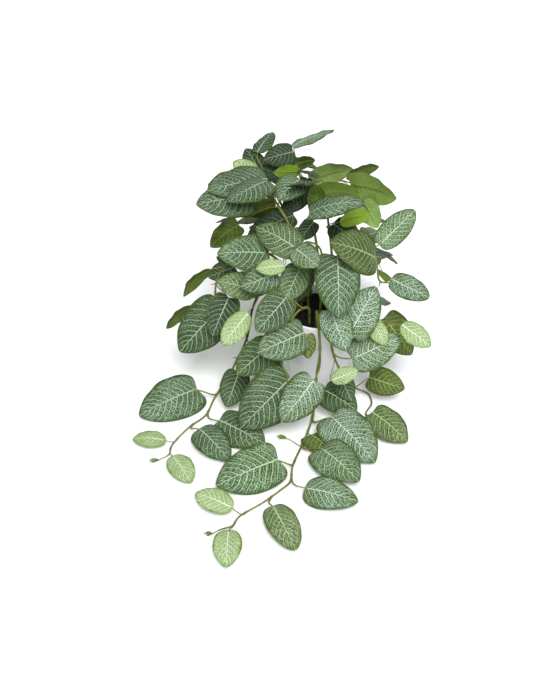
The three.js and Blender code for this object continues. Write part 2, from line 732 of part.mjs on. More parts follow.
const stems = makePlant();
const plant = new THREE.Group();
plant.name = 'potted_nerve_plant';
plant.add(named('pot', potGeometry(), COLOURS.pot, 0.45));
plant.add(named('soil', soilGeometry(stems), COLOURS.soil, 0.95));
for (const stem of stems) plant.add(named(stem.name, stemGeometry(stem), COLOURS.leaves, 0.6));

export default plant;
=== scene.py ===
"""The finished look of the potted nerve plant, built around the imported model.

The pot, the soil and each leafy stem of the model are replaced with finer pieces of the same form.
The leaves grow by the same plan and the same rule as in the model, so each blade lies where the
model has it. Sizes are in millimetres until a mesh is made, and metres from there on."""

import itertools
import math
from types import SimpleNamespace

import bpy
import numpy as np
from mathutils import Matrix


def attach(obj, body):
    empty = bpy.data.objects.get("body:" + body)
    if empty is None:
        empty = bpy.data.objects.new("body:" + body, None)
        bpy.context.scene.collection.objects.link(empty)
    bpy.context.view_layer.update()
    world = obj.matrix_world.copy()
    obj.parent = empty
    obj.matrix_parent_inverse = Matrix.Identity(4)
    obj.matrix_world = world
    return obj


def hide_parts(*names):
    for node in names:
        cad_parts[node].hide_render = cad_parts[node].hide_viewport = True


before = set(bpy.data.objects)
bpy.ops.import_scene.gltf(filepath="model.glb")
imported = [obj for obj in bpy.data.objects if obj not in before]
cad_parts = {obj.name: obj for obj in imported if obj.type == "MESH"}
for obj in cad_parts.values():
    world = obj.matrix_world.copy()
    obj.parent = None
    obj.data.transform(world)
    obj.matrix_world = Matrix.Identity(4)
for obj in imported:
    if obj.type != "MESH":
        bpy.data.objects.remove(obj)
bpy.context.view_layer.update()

MM = 0.001
SEED = 5
RNG = np.random.default_rng(SEED)

# The pot and the soil
POT_HEIGHT = 102
POT_TOP_RADIUS = 46
POT_BASE_RADIUS = 34
POT_WALL = 2.8
POT_FLOOR = 3.2
POT_EDGE = 1.2
POT_SIDES = 144
POT_WALL_ROWS = 12
POT_WALL_INSET = 8
POT_BEND_IN = 2
POT_BEND_DOWN = 18
AXIS_RADIUS = 1
SOIL_TOP = POT_HEIGHT - 11
SOIL_CROWN = 2.5
SEAT_GAP = 0.3

# Stems, petioles and blades
CROWN_STEM_RADIUS = 2.1
TRAILING_STEM_RADIUS = 1.8
STEM_FOOT_DEPTH = 30
STEM_STRAIGHT_ABOVE_SOIL = 8
CURVE_DIVISIONS = 200
PETIOLE_SHARE_UNDER_BLADE = 0.1
PETIOLE_DROP = 0.55
PETIOLE_SETBACK = 10
PETIOLE_PULL_AT_STEM = 0.25
PETIOLE_BOW_TO_FRONT = 0.3
PETIOLE_PULL_AT_LEAF = 0.4
MODEL_BLADE_THICKNESS = 0.8
BLADE_THICKNESS = 0.45
GROUND_GAP = 0.5

# The outline of a blade is an oval. Beside its base the edge is swept back into a heart's lobes.
SWEEP_RISE_POWER = 0.7
SWEEP_FADE_POWER = 5
SWEEP_SIDE_POWER = 1.2
DROOP_POWER = 1.6
BLADE_RIPPLES = 1.5
RIPPLE_PHASE_STEP = 0.618

# The rule that bends leaves clear of each other, of the stems, the pot and the ground
CLEAR_ROUNDS = 90
CLEAR_GAP = 2.2
CLEAR_RATE = 0.55
CLEAR_SHIFT = 0.4
CLEAR_EDGE = 1.5
CLEAR_REACH = 0.6
LINE_REACH_SHARE = 0.8
LINE_REACH = 20
FREE_BASE = 0.12
POT_CLEARANCE = 2.5
SAMPLE_ROWS = (0.1, 0.3, 0.5, 0.7, 0.88)
SAMPLE_SIDES = (-0.9, 0, 0.9)
STEM_SAMPLE_STEP = 6
PETIOLE_SAMPLES = (0.3, 0.6, 0.85)
POT_RING_SHARES = (1, 0.75, 0.5, 0.25)
POT_RING_POINTS = 24

# The shapes of leaf: width, height of the arch and ripple as shares of the length, how deep the
# heart's lobes are, how far the edges droop, as a share of the half width, and the powers by
# which the outline rises from the base and falls to the tip, which are less for a blunter end
ADULT = {"arch": 0.07, "ripple": 0.02, "heart": 0.95, "rise": 0.44, "fall": 0.74}
SMALL = {"ripple": 0.02, "heart": 0.4, "rise": 0.62, "fall": 0.72}
SHAPES = {
    "net": ADULT | {"width": 0.74, "droop": 0.16},
    "pale": ADULT | {"width": 0.73, "droop": 0.14},
    "dark": ADULT | {"width": 0.75, "droop": 0.18},
    "egg": ADULT | {"width": 0.66, "droop": 0.14, "heart": 0.3},
    "long": ADULT | {"width": 0.55, "droop": 0.16, "heart": 0.4, "fall": 0.6},
    "narrow": SMALL | {"width": 0.42, "arch": 0.14, "droop": 0.3},
    "young": SMALL | {"width": 0.6, "arch": 0.08, "droop": 0.1},
    "bud": SMALL | {"width": 0.42, "arch": 0.1, "droop": -0.35, "ripple": 0, "heart": 0},
}

# The kinds of leaf: the shape of each, then how strong its pale net is and how yellow, how olive
# and how deep a green it is, which is partly the leaf's own tone and partly painted shade
TINTS = ("net", "yellow", "olive", "deep")
KINDS = {
    "net": ("net", 0.75, 0, 0.1, 0),
    "deep": ("net", 0.66, 0, 0.35, 0.85),
    "mossy": ("net", 0.7, 0, 0.6, 0.1),
    "bright": ("net", 0.95, 0, 0, 0),
    "pale": ("pale", 1, 0, 0, 0),
    "dusky": ("pale", 0.85, 0, 0.1, 0.5),
    "dark": ("dark", 0.4, 0, 0.25, 0.6),
    "shaded": ("dark", 0.3, 0, 0.3, 1),
    "olive": ("dark", 0.5, 0, 1, 0),
    "egg": ("egg", 0.85, 0, 0, 0),
    "oval": ("egg", 0.65, 0, 0.1, 0.6),
    "long": ("long", 0.9, 0, 0, 0),
    "slate": ("long", 0.5, 0, 0.2, 0.2),
    "narrow": ("narrow", 0.3, 0, 0.8, 0),
    "young": ("young", 0.8, 1, 0, 0),
    "lime": ("young", 0.45, 0.9, 0.2, 0),
    "bud": ("bud", 0.3, 0.8, 0.7, 0),
}

# No two leaves bend alike: the arch and the droop of each are scaled by its number
LEAST_BEND = 0.6
BEND_SPREAD = 0.9
ARCH_STEP = 0.382
DROOP_STEP = 0.271

# Painted shade: leaves are painted a darker green the higher they grow, unless their net is as strong as
# a pale leaf's
PAINTED_SHADE_FROM = 120
PAINTED_SHADE_FULL = 220
PALE_NET = 0.85

# The stems: where each stands in the soil, then the points of its route above the soil
ROUTES = {
    "stem_crown_left": ((-14, 6), [(-18, 12, 150), (-38, 22, 203), (-58, 40, 230), (-72, 60, 238)]),
    "stem_crown_back_left": ((-19, 21), [
        (-24, 38, 150), (-45, 65, 200), (-66, 92, 230), (-77, 112, 243),
    ]),
    "stem_crown_back": ((1, 25), [(-4, 40, 160), (-16, 62, 213), (-27, 85, 240), (-31, 104, 254)]),
    "stem_crown_right": ((16, 13), [
        (14, 20, 150), (8, 34, 200), (4, 46, 226), (16, 58, 236), (28, 62, 234),
    ]),
    "stem_crown_front": ((0, -6), [
        (2, -4, 140), (-2, 0, 183), (-16, -8, 196), (-34, -13, 190), (-48, -12, 180),
    ]),
    "stem_right_upper": ((27, -1), [
        (32, -2, 140), (44, 2, 170), (58, 5, 177), (64, -2, 160), (68, -8, 143), (80, -8, 141),
    ]),
    "stem_right_low": ((21, -15), [
        (30, -26, 128), (44, -34, 124), (58, -38, 113), (76, -32, 102), (92, -28, 94), (104, -36, 84),
    ]),
    "stem_right_front": ((8, -23), [
        (9, -36, 118), (11, -51, 108), (13, -55, 80), (24, -52, 46), (42, -47, 16), (58, -44, 4.5),
        (62, -60, 2.6), (54, -80, 2.6), (66, -96, 2.6),
    ]),
    "stem_centre_trailing": ((-5, -27), [
        (-5, -36, 120), (-3, -50, 107), (-1, -55, 76), (-4, -54, 44), (-6, -62, 15), (-8, -80, 3.4),
        (-18, -121, 2.6), (-33, -168, 2.6), (-36, -193, 2.6), (-45, -204, 2.6), (-66, -225, 2.6),
        (-91, -246, 2.6), (-98, -259, 2.6), (-110, -264, 2.6), (-118, -270, 2.6),
    ]),
    "stem_left_trailing": ((-21, -7), [
        (-30, -6, 138), (-52, -3, 144), (-70, -2, 124), (-80, -5, 100), (-84, -11, 76), (-90, -15, 55),
        (-100, -20, 34), (-110, -28, 16), (-125, -50, 3.6), (-135, -82, 2.6), (-153, -103, 2.6),
        (-171, -135, 2.6), (-173, -149, 2.6), (-184, -158, 2.6),
    ]),
    "stem_front_left": ((-13, -21), [
        (-15, -34, 124), (-25, -45, 129), (-35, -52, 118), (-41, -62, 98), (-45, -74, 78),
        (-41, -82, 70),
    ]),
    "stem_left_low": ((-27, 5), [
        (-40, 8, 148), (-66, 6, 174), (-92, 0, 170), (-112, -4, 158), (-121, -10, 140),
        (-122, -14, 118),
    ]),
    "stem_back_left": ((-10, 34), [
        (-20, 52, 140), (-42, 82, 148), (-62, 106, 128), (-74, 122, 98), (-80, 130, 66),
    ]),
    "stem_back_right": ((13, 32), [
        (24, 54, 142), (46, 82, 150), (64, 104, 130), (74, 118, 102), (78, 126, 74),
    ]),
}

# The leaves of each stem: the kind, the base, the tip, the lean and, if it isn't the front, where
# the leaf leans to. Its upper face leans by so many degrees from level toward a compass angle.
FRONT = -90
BACK = 90
LEFT = 180
LEAVES = {
    "stem_crown_left": [
        ("net", -62, 56, 241, -128, 16, 248, 14),
        ("net", -82, 26, 232, -141, 2, 235, 32),
        ("young", -70, 70, 235, -102, 88, 245, 62),
        ("net", -63, 34, 250, -104, -8, 246, 0),
        ("dark", -86, 16, 217, -117, -6, 227, -40),
        ("olive", -94, 10, 208, -126, -4, 187, -85),
        ("olive", -52, 36, 217, -96, 46, 203, -75),
        ("shaded", -40, 26, 198, -84, 16, 190, 58),
        ("shaded", -30, 30, 206, -62, 14, 192, 56),
        ("bud", -72, 60, 238, -82, 68, 243, 0),
    ],
    "stem_crown_back_left": [
        ("dark", -68, 98, 221, -88, 122, 246, 30),
        ("slate", -74, 114, 243, -53, 150, 247, -34),
        ("net", -84, 88, 214, -134, 116, 200, 30, LEFT),
        ("dark", -55, 88, 198, -78, 140, 176, 50, BACK),
        ("net", -40, 68, 172, -84, 100, 150, 45, 130),
        ("net", -40, 52, 190, -99, 50, 186, 30, 160),
    ],
    "stem_crown_back": [
        ("long", -33, 100, 258, 16, 124, 268, -16),
        ("dark", -32, 92, 256, -66, 76, 254, 46),
        ("olive", -29, 86, 243, -6, 94, 244, -86),
        ("young", -24, 64, 245, -54, 56, 248, -88),
        ("dusky", -25, 56, 238, -50, 14, 238, 26),
        ("olive", -9, 37, 246, -41, 8, 246, -44),
        ("dark", -22, 104, 232, -34, 160, 212, 55, BACK),
        ("net", 6, 80, 196, 42, 130, 172, 55, 70),
        ("dark", -8, 44, 191, -25, 26, 177, 46),
        ("deep", -20, 60, 222, -42, 34, 210, 44),
        ("dark", -40, 92, 222, -68, 84, 239, 46),
        ("dark", -17, 60, 241, -29, 44, 229, 45),
    ],
    "stem_crown_right": [
        ("dark", -12, 74, 228, 38, 84, 238, -72),
        ("narrow", 29, 62, 240, 68, 84, 241, -84),
        ("dark", -4, 50, 247, -27, 60, 250, -20),
        ("dark", -9, 30, 234, 41, 44, 233, -70),
        ("olive", -4, 22, 224, -9, 32, 251, -88),
        ("dark", 33, 48, 239, 83, 18, 237, -84),
        ("dusky", -14, 0, 230, 47, -10, 247, 2),
        ("young", 21, 14, 209, 55, 28, 212, -86),
        ("dark", 46, 34, 225, 65, 30, 191, -66),
        ("net", 30, 50, 196, 80, 66, 178, 50, 30),
        ("shaded", 15, 30, 196, 43, 2, 184, 54),
    ],
    "stem_crown_front": [
        ("net", -60, -6, 180, -118, -16, 186, 40),
        ("young", -42, -30, 179, -74, -39, 181, 38),
        ("net", -28, -12, 190, -74, 12, 202, 38),
        ("bright", -29, -20, 195, -5, -54, 194, 44),
        ("net", 18, -20, 186, 22, -82, 150, 56),
        ("shaded", -20, 0, 160, -30, -26, 126, 58),
        ("shaded", 8, -16, 168, 20, -44, 150, 55),
        ("net", -24, -14, 166, -42, -50, 145, 54),
        ("net", -50, -26, 166, -92, -46, 162, 46),
    ],
    "stem_right_upper": [
        ("long", 67, 14, 178, 108, 40, 209, 50),
        ("olive", 60, -2, 171, 4, -24, 204, 40),
        ("long", 81, -7, 145, 124, -34, 135, 44),
        ("net", 50, 20, 160, 84, 58, 138, 55, 60),
        ("bud", 80, -8, 141, 90, -4, 147, 0),
    ],
    "stem_right_low": [
        ("olive", 77, 2, 83, 110, -22, 46, 44),
        ("young", 56, -44, 116, 74, -60, 90, 50),
        ("young", 92, -50, 112, 124, -70, 96, 50),
        ("net", 60, 6, 108, 80, 42, 82, 55, 50),
    ],
    "stem_right_front": [
        ("pale", 32, -62, 108, 61, -36, 155, 52),
        ("pale", 10, -48, 132, 28, -76, 94, 60),
        ("pale", 36, -62, 72, 92, -50, 94, 52),
        ("olive", 59, -42, 28, 100, -60, 25, 54),
        ("young", 12, -88, 61, 42, -84, 73, 52),
        ("mossy", 60, -94, 18, 98, -132, 6, 20),
        ("dark", 23, -62, 46, 37, -84, 25, 44),
        ("bud", 66, -96, 3, 74, -104, 5, 0),
    ],
    "stem_centre_trailing": [
        ("dark", 4, -62, 26, 40, -98, 27, 36),
        ("pale", -9, -98, 69, -46, -127, 32, 52),
        ("pale", 12, -104, 20, 59, -166, 8, 18),
        ("net", -1, -149, 11, 40, -201, 10, 12),
        ("egg", -20, -209, 9, 37, -231, 10, 18),
        ("olive", -15, -120, 3, -2, -166, 1, 4),
        ("net", -49, -172, 17, -117, -206, 9, 26),
        ("young", -98, -240, 10, -139, -219, 11, 22),
        ("young", -101, -268, 6, -102, -319, 5, 12),
        ("long", -55, -238, 11, -31, -296, 6, 14),
        ("bud", -118, -270, 3, -127, -273, 5, 0),
        ("bud", -40, -122, 3.6, -51, -121, 5, 0),
    ],
    "stem_left_trailing": [
        ("young", -84, -42, 122, -113, -64, 93, 52),
        ("dark", -76, -22, 54, -48, -64, 38, 46),
        ("dark", -96, -40, 34, -110, -76, 10, 42),
        ("dusky", -146, -47, 14, -212, -88, 7, 28),
        ("lime", -178, -130, 6, -216, -127, 6, 14),
        ("young", -168, -154, 5, -145, -196, 4, 14),
        ("oval", -140, -117, 13, -104, -163, 6, 16),
        ("deep", -118, -100, 11, -65, -137, 12, 18),
        ("bud", -184, -158, 3, -194, -163, 5, 0),
    ],
    "stem_front_left": [
        ("deep", -40, -47, 148, -74, -77, 122, 52),
        ("dusky", -20, -60, 108, -73, -90, 102, 50),
        ("olive", -17, -58, 104, -15, -72, 80, 72),
        ("deep", -35, -84, 60, -90, -116, 9, 52),
        ("dark", -58, -62, 92, -96, -84, 66, 52),
    ],
    "stem_left_low": [
        ("narrow", -125, -10, 160, -158, -22, 131, -62),
        ("dark", -104, 26, 147, -122, 32, 150, 40),
        ("net", -78, -28, 146, -118, -32, 160, 46),
        ("dark", -116, -10, 109, -165, -38, 63, 52),
        ("narrow", -150, 0, 102, -182, -10, 76, -70),
        ("shaded", -106, -26, 133, -125, -50, 96, 56),
        ("dark", -100, 14, 148, -131, 6, 139, 50),
        ("net", -60, -14, 158, -96, -22, 132, 58),
    ],
    "stem_back_left": [
        ("net", -34, 86, 150, -22, 134, 122, 60, BACK),
        ("dark", -62, 96, 140, -112, 100, 116, 50, 150),
        ("net", -60, 120, 118, -46, 164, 84, 60, BACK),
        ("net", -82, 118, 98, -126, 122, 66, 55, 150),
        ("young", -74, 134, 76, -62, 158, 46, 60, BACK),
        ("net", -88, 132, 62, -122, 158, 24, 55, 130),
        ("young", -80, 132, 60, -82, 150, 24, 60, BACK),
    ],
    "stem_back_right": [
        ("dark", 34, 88, 152, 24, 138, 126, 60, BACK),
        ("net", 60, 92, 142, 84, 126, 120, 50, 30),
        ("net", 58, 118, 122, 48, 166, 92, 60, BACK),
        ("dark", 82, 118, 100, 96, 152, 66, 55, 40),
        ("net", 68, 134, 82, 58, 166, 46, 60, BACK),
        ("young", 84, 126, 66, 90, 148, 36, 55, 50),
        ("net", 42, 46, 149, 74, 70, 122, 50, 20),
    ],
}

# The vine that is brown where it hangs, down to where it nears the ground
BROWN_STEM = "stem_left_trailing"
BROWN_TO = 25
BROWN_FULL = 70

# The finer blades: rows and columns of faces, the course of the side veins, and the relief of a
# leaf of the large length, which is less on smaller leaves
UPPER, UNDER, STEM = range(3)
BLADE_GRIDS = {"large": (44, 20), "small": (10, 6)}
LARGE_LEAF = 75
SMALLEST_PETIOLE = 0.5
VEIN_FORWARD = 0.3
VEIN_CURVE = 1.25
VEINS_LEAST = 4
VEIN_SPACING = 12
NET_CELLS = 2.7
NET_LENGTHWISE = 2.9
MIDRIB_DEPTH = 0.7
MIDRIB_SPREAD = 2.2
MIDRIB_FADE = 1.1
QUILT_DEPTH = 0.42
QUILT_FROM_MIDRIB = 3
EDGE_WAVES = 3.5
EDGE_WAVE_DEPTH = 0.8
EDGE_WAVE_SHIFT = 7
EDGE_WAVE_OFFSET = 0.37
EDGE_THINNING = 0.55
FLOOR_CLEARANCE = 0.15

# The finer stems and petioles
STEM_MESH_STEP = 3
STEM_MESH_SIDES = 12
STEM_THICKEST = 0.88
STEM_TAPER = 0.42
STEM_TAPER_POWER = 1.5
STEM_UNEVEN = 0.05
TIP_LEAST = 0.45
TIP_TAPER = 30
JOINT_REACH = 2.5
JOINT_SWELL = 0.45
JOINT_FADE = 1.5
PETIOLE_MESH_STEPS = 14
PETIOLE_MESH_SIDES = 8
PETIOLE_SINK_POWER = 6
PETIOLE_THICKEST = 1.15
PETIOLE_THINNEST = 0.9
MIDRIB_MESH_STEPS = 10
MIDRIB_END = 0.85
MIDRIB_THINNEST = 0.2
MIDRIB_COVER = 0.2
MIDRIB_RUN_OUT = 3
STREAK_UNIT = 10
STREAK_SHIFT = 30
STEM_STREAK_SHIFT = 10
TWIST_START = (0.3, 1, 0.2)

# Short stubs at some joints of the stems, and the leaflets that open at a stem's tip
SPUR_SHARE = 0.45
SPUR_LOWEST = 10
SPUR_LENGTHS = (4, 8)
SPUR_LEAN = 0.9
SPUR_RADIUS = 0.8
SPUR_TIP = 0.12
SPUR_POWER = 0.7
SPUR_BEND = 0.25
SPUR_BENDS_FROM = (0.4, -0.7, 0.6)
SPUR_RINGS = 6
SPUR_SIDES = 7
END_LEAFLETS = 4
LEAFLET_SWAY = 0.1
LEAFLET_SPREADS = (0.25, 0.6)
LEAFLET_SHARES = (0.5, 0.8)
LEAFLET_SETBACK = 0.5

# The soil's top, in rings, its lumps as waves and depths, and the crumbs that lie on it
SOIL_RINGS = 28
SOIL_SIDES = 120
SOIL_CENTRE = 0.01
SOIL_LUMPS = ((0.31, 0.35), (0.67, 0.25), (1.3, 0.18))
LUMP_TURN = 1.3
LUMP_SKEW = 0.9
SOIL_TONE = 0.3
CRUMBS = 1100
CRUMB_SMALLEST = 0.7
CRUMB_LARGEST = 2.6
CRUMB_RARITY = 3
CRUMB_LIFT = 0.25
CRUMB_MARGIN = 2
CRUMB_STRETCH = (0.45, 1.1)
CRUMB_UNEVEN = (0.75, 1.15)
GOLDEN = (1 + math.sqrt(5)) / 2

# How sharp an edge must be, in degrees, to stay an edge
SHARP_ANGLE = 50
SHARP_SOIL_ANGLE = 35

# The camera and the light, in metres and degrees
CAMERA_PLACE = (-0.0472, -1.1163, 0.9083)
CAMERA_DOWN = 38
CAMERA_LENS = 60
CAMERA_SENSOR = 36
FLOOR_SIZE = 40000
LEVEL_LIGHT = 1.05
ROOM_LIGHT = 0.58
ROOM_DIMS_BY = 0.3
KEY_LIGHT = 3.35
KEY_WIDTH = 34
KEY_DOWN = 54
KEY_COMPASS = -80


def unit(vector):
    return vector / np.linalg.norm(vector, axis=-1, keepdims=True)


def dot(first, second):
    return (first * second).sum(axis=-1)


def circle(count):
    """The cosines and sines of places round a circle."""
    angles = np.arange(count) / count * 2 * np.pi
    return np.cos(angles), np.sin(angles)


def pot_radius(height):
    share = np.clip(np.asarray(height) / POT_HEIGHT, 0, 1)
    return POT_BASE_RADIUS + (POT_TOP_RADIUS - POT_BASE_RADIUS) * share


# Growth: stems


def centripetal(points, shares):
    """Points of a centripetal Catmull-Rom curve through the given ones, at shares of its spans."""
    padded = np.vstack([2 * points[0] - points[1], points, 2 * points[-1] - points[-2]])
    place = shares * (len(points) - 1)
    span = np.minimum(place.astype(int), len(points) - 2)
    t = (place - span)[:, None]
    near = [padded[span + step] for step in range(4)]
    gaps = [np.sqrt(np.linalg.norm(b - a, axis=1))[:, None] for a, b in zip(near, near[1:])]

    def speed(first):
        a, b, c = near[first : first + 3]
        before, after = gaps[first : first + 2]
        return gaps[1] * ((b - a) / before - (c - a) / (before + after) + (c - b) / after)

    start, end = near[1:3]
    leave, arrive = speed(0), speed(1)
    square = 3 * (end - start) - 2 * leave - arrive
    cube = 2 * (start - end) + leave + arrive
    return start + leave * t + square * t**2 + cube * t**3


def evenly_spaced(points, step):
    """Points along the curve, about a step apart."""
    shares = np.linspace(0, 1, CURVE_DIVISIONS + 1)
    fine = centripetal(points, shares)
    run = np.concatenate([[0], np.cumsum(np.linalg.norm(np.diff(fine, axis=0), axis=1))])
    count = int(run[-1] / step + 0.5)
    return centripetal(points, np.interp(np.linspace(0, run[-1], count + 1), run, shares))


def make_stem(name):
    (x, y), route = ROUTES[name]
    trailing = "trailing" in name or "front" in name
    stem = SimpleNamespace(name=name)
    stem.radius = TRAILING_STEM_RADIUS if trailing else CROWN_STEM_RADIUS
    stem.bow = PETIOLE_BOW_TO_FRONT if trailing else 0
    points = [
        (x, y, SOIL_TOP - STEM_FOOT_DEPTH),
        (x, y, SOIL_TOP - STEM_FOOT_DEPTH / 2),
        (x, y, SOIL_TOP + SOIL_CROWN),
        (x, y, SOIL_TOP + SOIL_CROWN + STEM_STRAIGHT_ABOVE_SOIL),
    ]
    stem.route = np.array(points + route, float)
    stem.samples = evenly_spaced(stem.route, STEM_SAMPLE_STEP)
    return stem


# Growth: leaves, kept as arrays with a row for each leaf


def half_width(leaves, which, along):
    """The half width of a blade at a share of its length."""
    rise, fall = leaves.rise[which], leaves.fall[which]

    def shape(share):
        return share**rise * (1 - share) ** fall

    widest = shape(rise / (rise + fall))
    return leaves.width[which] * shape(np.clip(along, 0, 1)) / (2 * widest)


def lay_out(rows):
    """The leaves' own directions: along from base to tip, up out of the upper face, side to the left."""
    leaves = SimpleNamespace()
    leaves.kind = [row[0] for row in rows]
    leaves.base = np.array([row[1:4] for row in rows], float)
    reach = np.array([row[4:7] for row in rows], float) - leaves.base
    leaves.length = np.linalg.norm(reach, axis=1)
    leaves.along = unit(reach)
    tilt = np.radians([row[7] for row in rows])
    compass = np.radians([row[8] if len(row) > 8 else FRONT for row in rows])
    upward = np.stack(
        [np.sin(tilt) * np.cos(compass), np.sin(tilt) * np.sin(compass), np.cos(tilt)], axis=1
    )
    leaves.up = unit(upward - leaves.along * dot(upward, leaves.along)[:, None])
    leaves.side = np.cross(leaves.up, leaves.along)
    for key in SHAPES["net"]:
        values = [SHAPES[KINDS[kind][0]][key] for kind in leaves.kind]
        setattr(leaves, key, np.array(values, float))
    for place, key in enumerate(TINTS, start=1):
        setattr(leaves, key, np.array([KINDS[kind][place] for kind in leaves.kind], float))
    numbers = np.arange(len(rows))
    leaves.width *= leaves.length
    leaves.phase = (numbers * RIPPLE_PHASE_STEP) % 1
    leaves.arch *= LEAST_BEND + BEND_SPREAD * ((numbers * ARCH_STEP) % 1)
    leaves.droop *= LEAST_BEND + BEND_SPREAD * ((numbers * DROOP_STEP) % 1)
    leaves.veins = np.round(VEINS_LEAST + leaves.length / VEIN_SPACING)
    # Painted shade: the higher a leaf's base, the more its deep tint is raised
    height = np.clip((leaves.base[:, 2] - PAINTED_SHADE_FROM) / (PAINTED_SHADE_FULL - PAINTED_SHADE_FROM), 0, 1)
    leaves.deep += height * (leaves.net < PALE_NET)
    return leaves


def lift(leaves, which, along, across):
    """The height of a blade over its chord."""
    length = leaves.length[which]
    arch = 4 * leaves.arch[which] * length * along * (1 - along)
    edge = half_width(leaves, which, along)
    droop = leaves.droop[which] * edge * np.abs(across) ** DROOP_POWER
    turns = BLADE_RIPPLES * along + leaves.phase[which] * np.sign(across)
    fade = np.sin(np.pi * along) * across**2
    return arch - droop + leaves.ripple[which] * length * np.sin(2 * np.pi * turns) * fade


def blade_points(leaves, which, along, across, raised=0.0):
    """Points of a blade's middle surface, at shares of the length and from -1 to 1 across."""
    lobe = along**SWEEP_RISE_POWER * (1 - along) ** SWEEP_FADE_POWER
    sweep = leaves.heart[which] * lobe * np.abs(across) ** SWEEP_SIDE_POWER
    slope = 4 * leaves.arch[which] * (1 - 2 * along)
    tilt = 1 / np.hypot(1, slope)
    forward = leaves.length[which] * (along - sweep) - raised * slope * tilt
    sideways = half_width(leaves, which, along) * across
    upward = lift(leaves, which, along, across) + raised * tilt
    return (
        leaves.base[which]
        + forward[..., None] * leaves.along[which]
        + sideways[..., None] * leaves.side[which]
        + upward[..., None] * leaves.up[which]
    )


def root_petioles(leaves, stems):
    """A petiole leaves its stem a little below the point nearest to the leaf."""
    leaves.root = np.zeros_like(leaves.base)
    leaves.heading = np.zeros_like(leaves.base)
    leaves.bow = np.array([stems[number].bow for number in leaves.stem])
    for number, stem_number in enumerate(leaves.stem):
        samples = stems[stem_number].samples
        lowest = int(np.argmax(samples[:, 2] > POT_HEIGHT))
        distance = np.linalg.norm(samples - leaves.base[number], axis=1)
        nearest = lowest + int(np.argmin(distance[lowest:]))
        reach = min(PETIOLE_SETBACK, leaves.length[number] / 4)
        place = max(nearest - int(reach / STEM_SAMPLE_STEP + 0.5), lowest)
        leaves.root[number] = samples[place]
        leaves.heading[number] = unit(samples[place] - samples[place - 1])


def petiole_points(leaves, which, shares):
    """Points of the petioles' curves: from the stem, into the midrib from behind and below."""
    under = np.full(np.shape(which), PETIOLE_SHARE_UNDER_BLADE)
    end = blade_points(leaves, which, under, np.zeros_like(under), -PETIOLE_DROP)
    start = leaves.root[which]
    span = np.linalg.norm(end - start, axis=-1, keepdims=True)
    leave = start + leaves.heading[which] * span * PETIOLE_PULL_AT_STEM
    leave[..., 1] -= span[..., 0] * leaves.bow[which]
    arrive = end - leaves.along[which] * span * PETIOLE_PULL_AT_LEAF
    t = np.asarray(shares)[:, None]
    start, leave, arrive, end = (p[..., None, :] for p in (start, leave, arrive, end))
    rest = 1 - t
    return rest**3 * start + 3 * rest**2 * t * leave + 3 * rest * t**2 * arrive + t**3 * end


# Growth: the rule that bends leaves clear


def places_over(leaves, blades, points):
    """Where points lie over blades: inside or not, share along, distance across and height."""
    local = points - leaves.base[blades]
    along = dot(local, leaves.along[blades]) / leaves.length[blades]
    across = dot(local, leaves.side[blades])
    edge = half_width(leaves, blades, along)
    inside = (along > 0) & (along < 1) & (np.abs(across) < edge + CLEAR_EDGE)
    share = np.clip(across / (edge + 1e-9), -1, 1)
    height = dot(local, leaves.up[blades]) - lift(leaves, blades, along, share)
    return SimpleNamespace(inside=inside, along=along, across=across, edge=edge, height=height)


def push(leaves, which, points, by):
    arms = points - leaves.base[which]
    np.add.at(leaves.turn, which, np.cross(arms, by))
    np.add.at(leaves.shift, which, by)
    np.add.at(leaves.lever, which, dot(arms, arms))
    np.add.at(leaves.pushes, which, 1)


def part_leaves(leaves):
    """Where two blades are closer than the gap, each is pushed to its own side of the other."""
    apart = np.linalg.norm(leaves.middle[:, None] - leaves.middle[None], axis=2)
    reach = (leaves.length[:, None] + leaves.length[None]) * CLEAR_REACH
    near = apart <= reach
    np.fill_diagonal(near, False)
    upper, blade = np.nonzero(near)
    count = leaves.samples.shape[1]
    points = leaves.samples[upper]
    blades = np.repeat(blade[:, None], count, axis=1)
    place = places_over(leaves, blades, points)
    balance = np.where(place.inside, place.height, 0).sum(axis=1)
    side = np.where(balance < 0, -1, 1)[:, None]
    short = CLEAR_GAP - side * place.height
    hit = place.inside & (short > 0)
    by = leaves.up[blades[hit]] * ((side * short)[hit] / 2)[:, None]
    movers = np.repeat(upper[:, None], count, axis=1)[hit]
    push(leaves, movers, points[hit], by)
    push(leaves, blades[hit], points[hit], -by)


def clear_of_lines(leaves, lines):
    """A line that runs through a blade pushes it sideways. One that is only close pushes it off."""
    apart = np.linalg.norm(leaves.middle[:, None] - lines.points[None], axis=2)
    near = apart < (leaves.length * LINE_REACH_SHARE + LINE_REACH)[:, None]
    near &= lines.owner[None] != np.arange(len(leaves.length))[:, None]
    blades, spots = np.nonzero(near)
    points = lines.points[spots]
    gap = lines.gap[spots]
    place = places_over(leaves, blades, points)
    after = places_over(leaves, blades, lines.after[spots])
    counts = place.inside & (place.along >= FREE_BASE)
    through = counts & lines.goes_on[spots] & after.inside & (place.height * after.height < 0)
    close = counts & ~through & (np.abs(place.height) < gap)
    way = np.where(place.across < 0, 1, -1)
    sideways = way * (place.edge - np.abs(place.across) + gap)
    by = leaves.side[blades] * sideways[:, None]
    push(leaves, blades[through], points[through], by[through])
    way = np.where(place.height < 0, 1, -1)
    by = leaves.up[blades] * (way * (gap - np.abs(place.height)))[:, None]
    push(leaves, blades[close], points[close], by[close])


def join_lines(lines, gaps, owners):
    """Lines as one list of points, each with the point after it on its own line."""
    joined = SimpleNamespace()
    joined.points = np.concatenate(lines)
    joined.after = np.concatenate([np.vstack([line[1:], line[-1:]]) for line in lines])
    joined.goes_on = np.concatenate([np.arange(len(line)) < len(line) - 1 for line in lines])
    joined.gap = np.concatenate([np.full(len(line), gap) for line, gap in zip(lines, gaps)])
    joined.owner = np.concatenate([np.full(len(line), owner) for line, owner in zip(lines, owners)])
    return joined


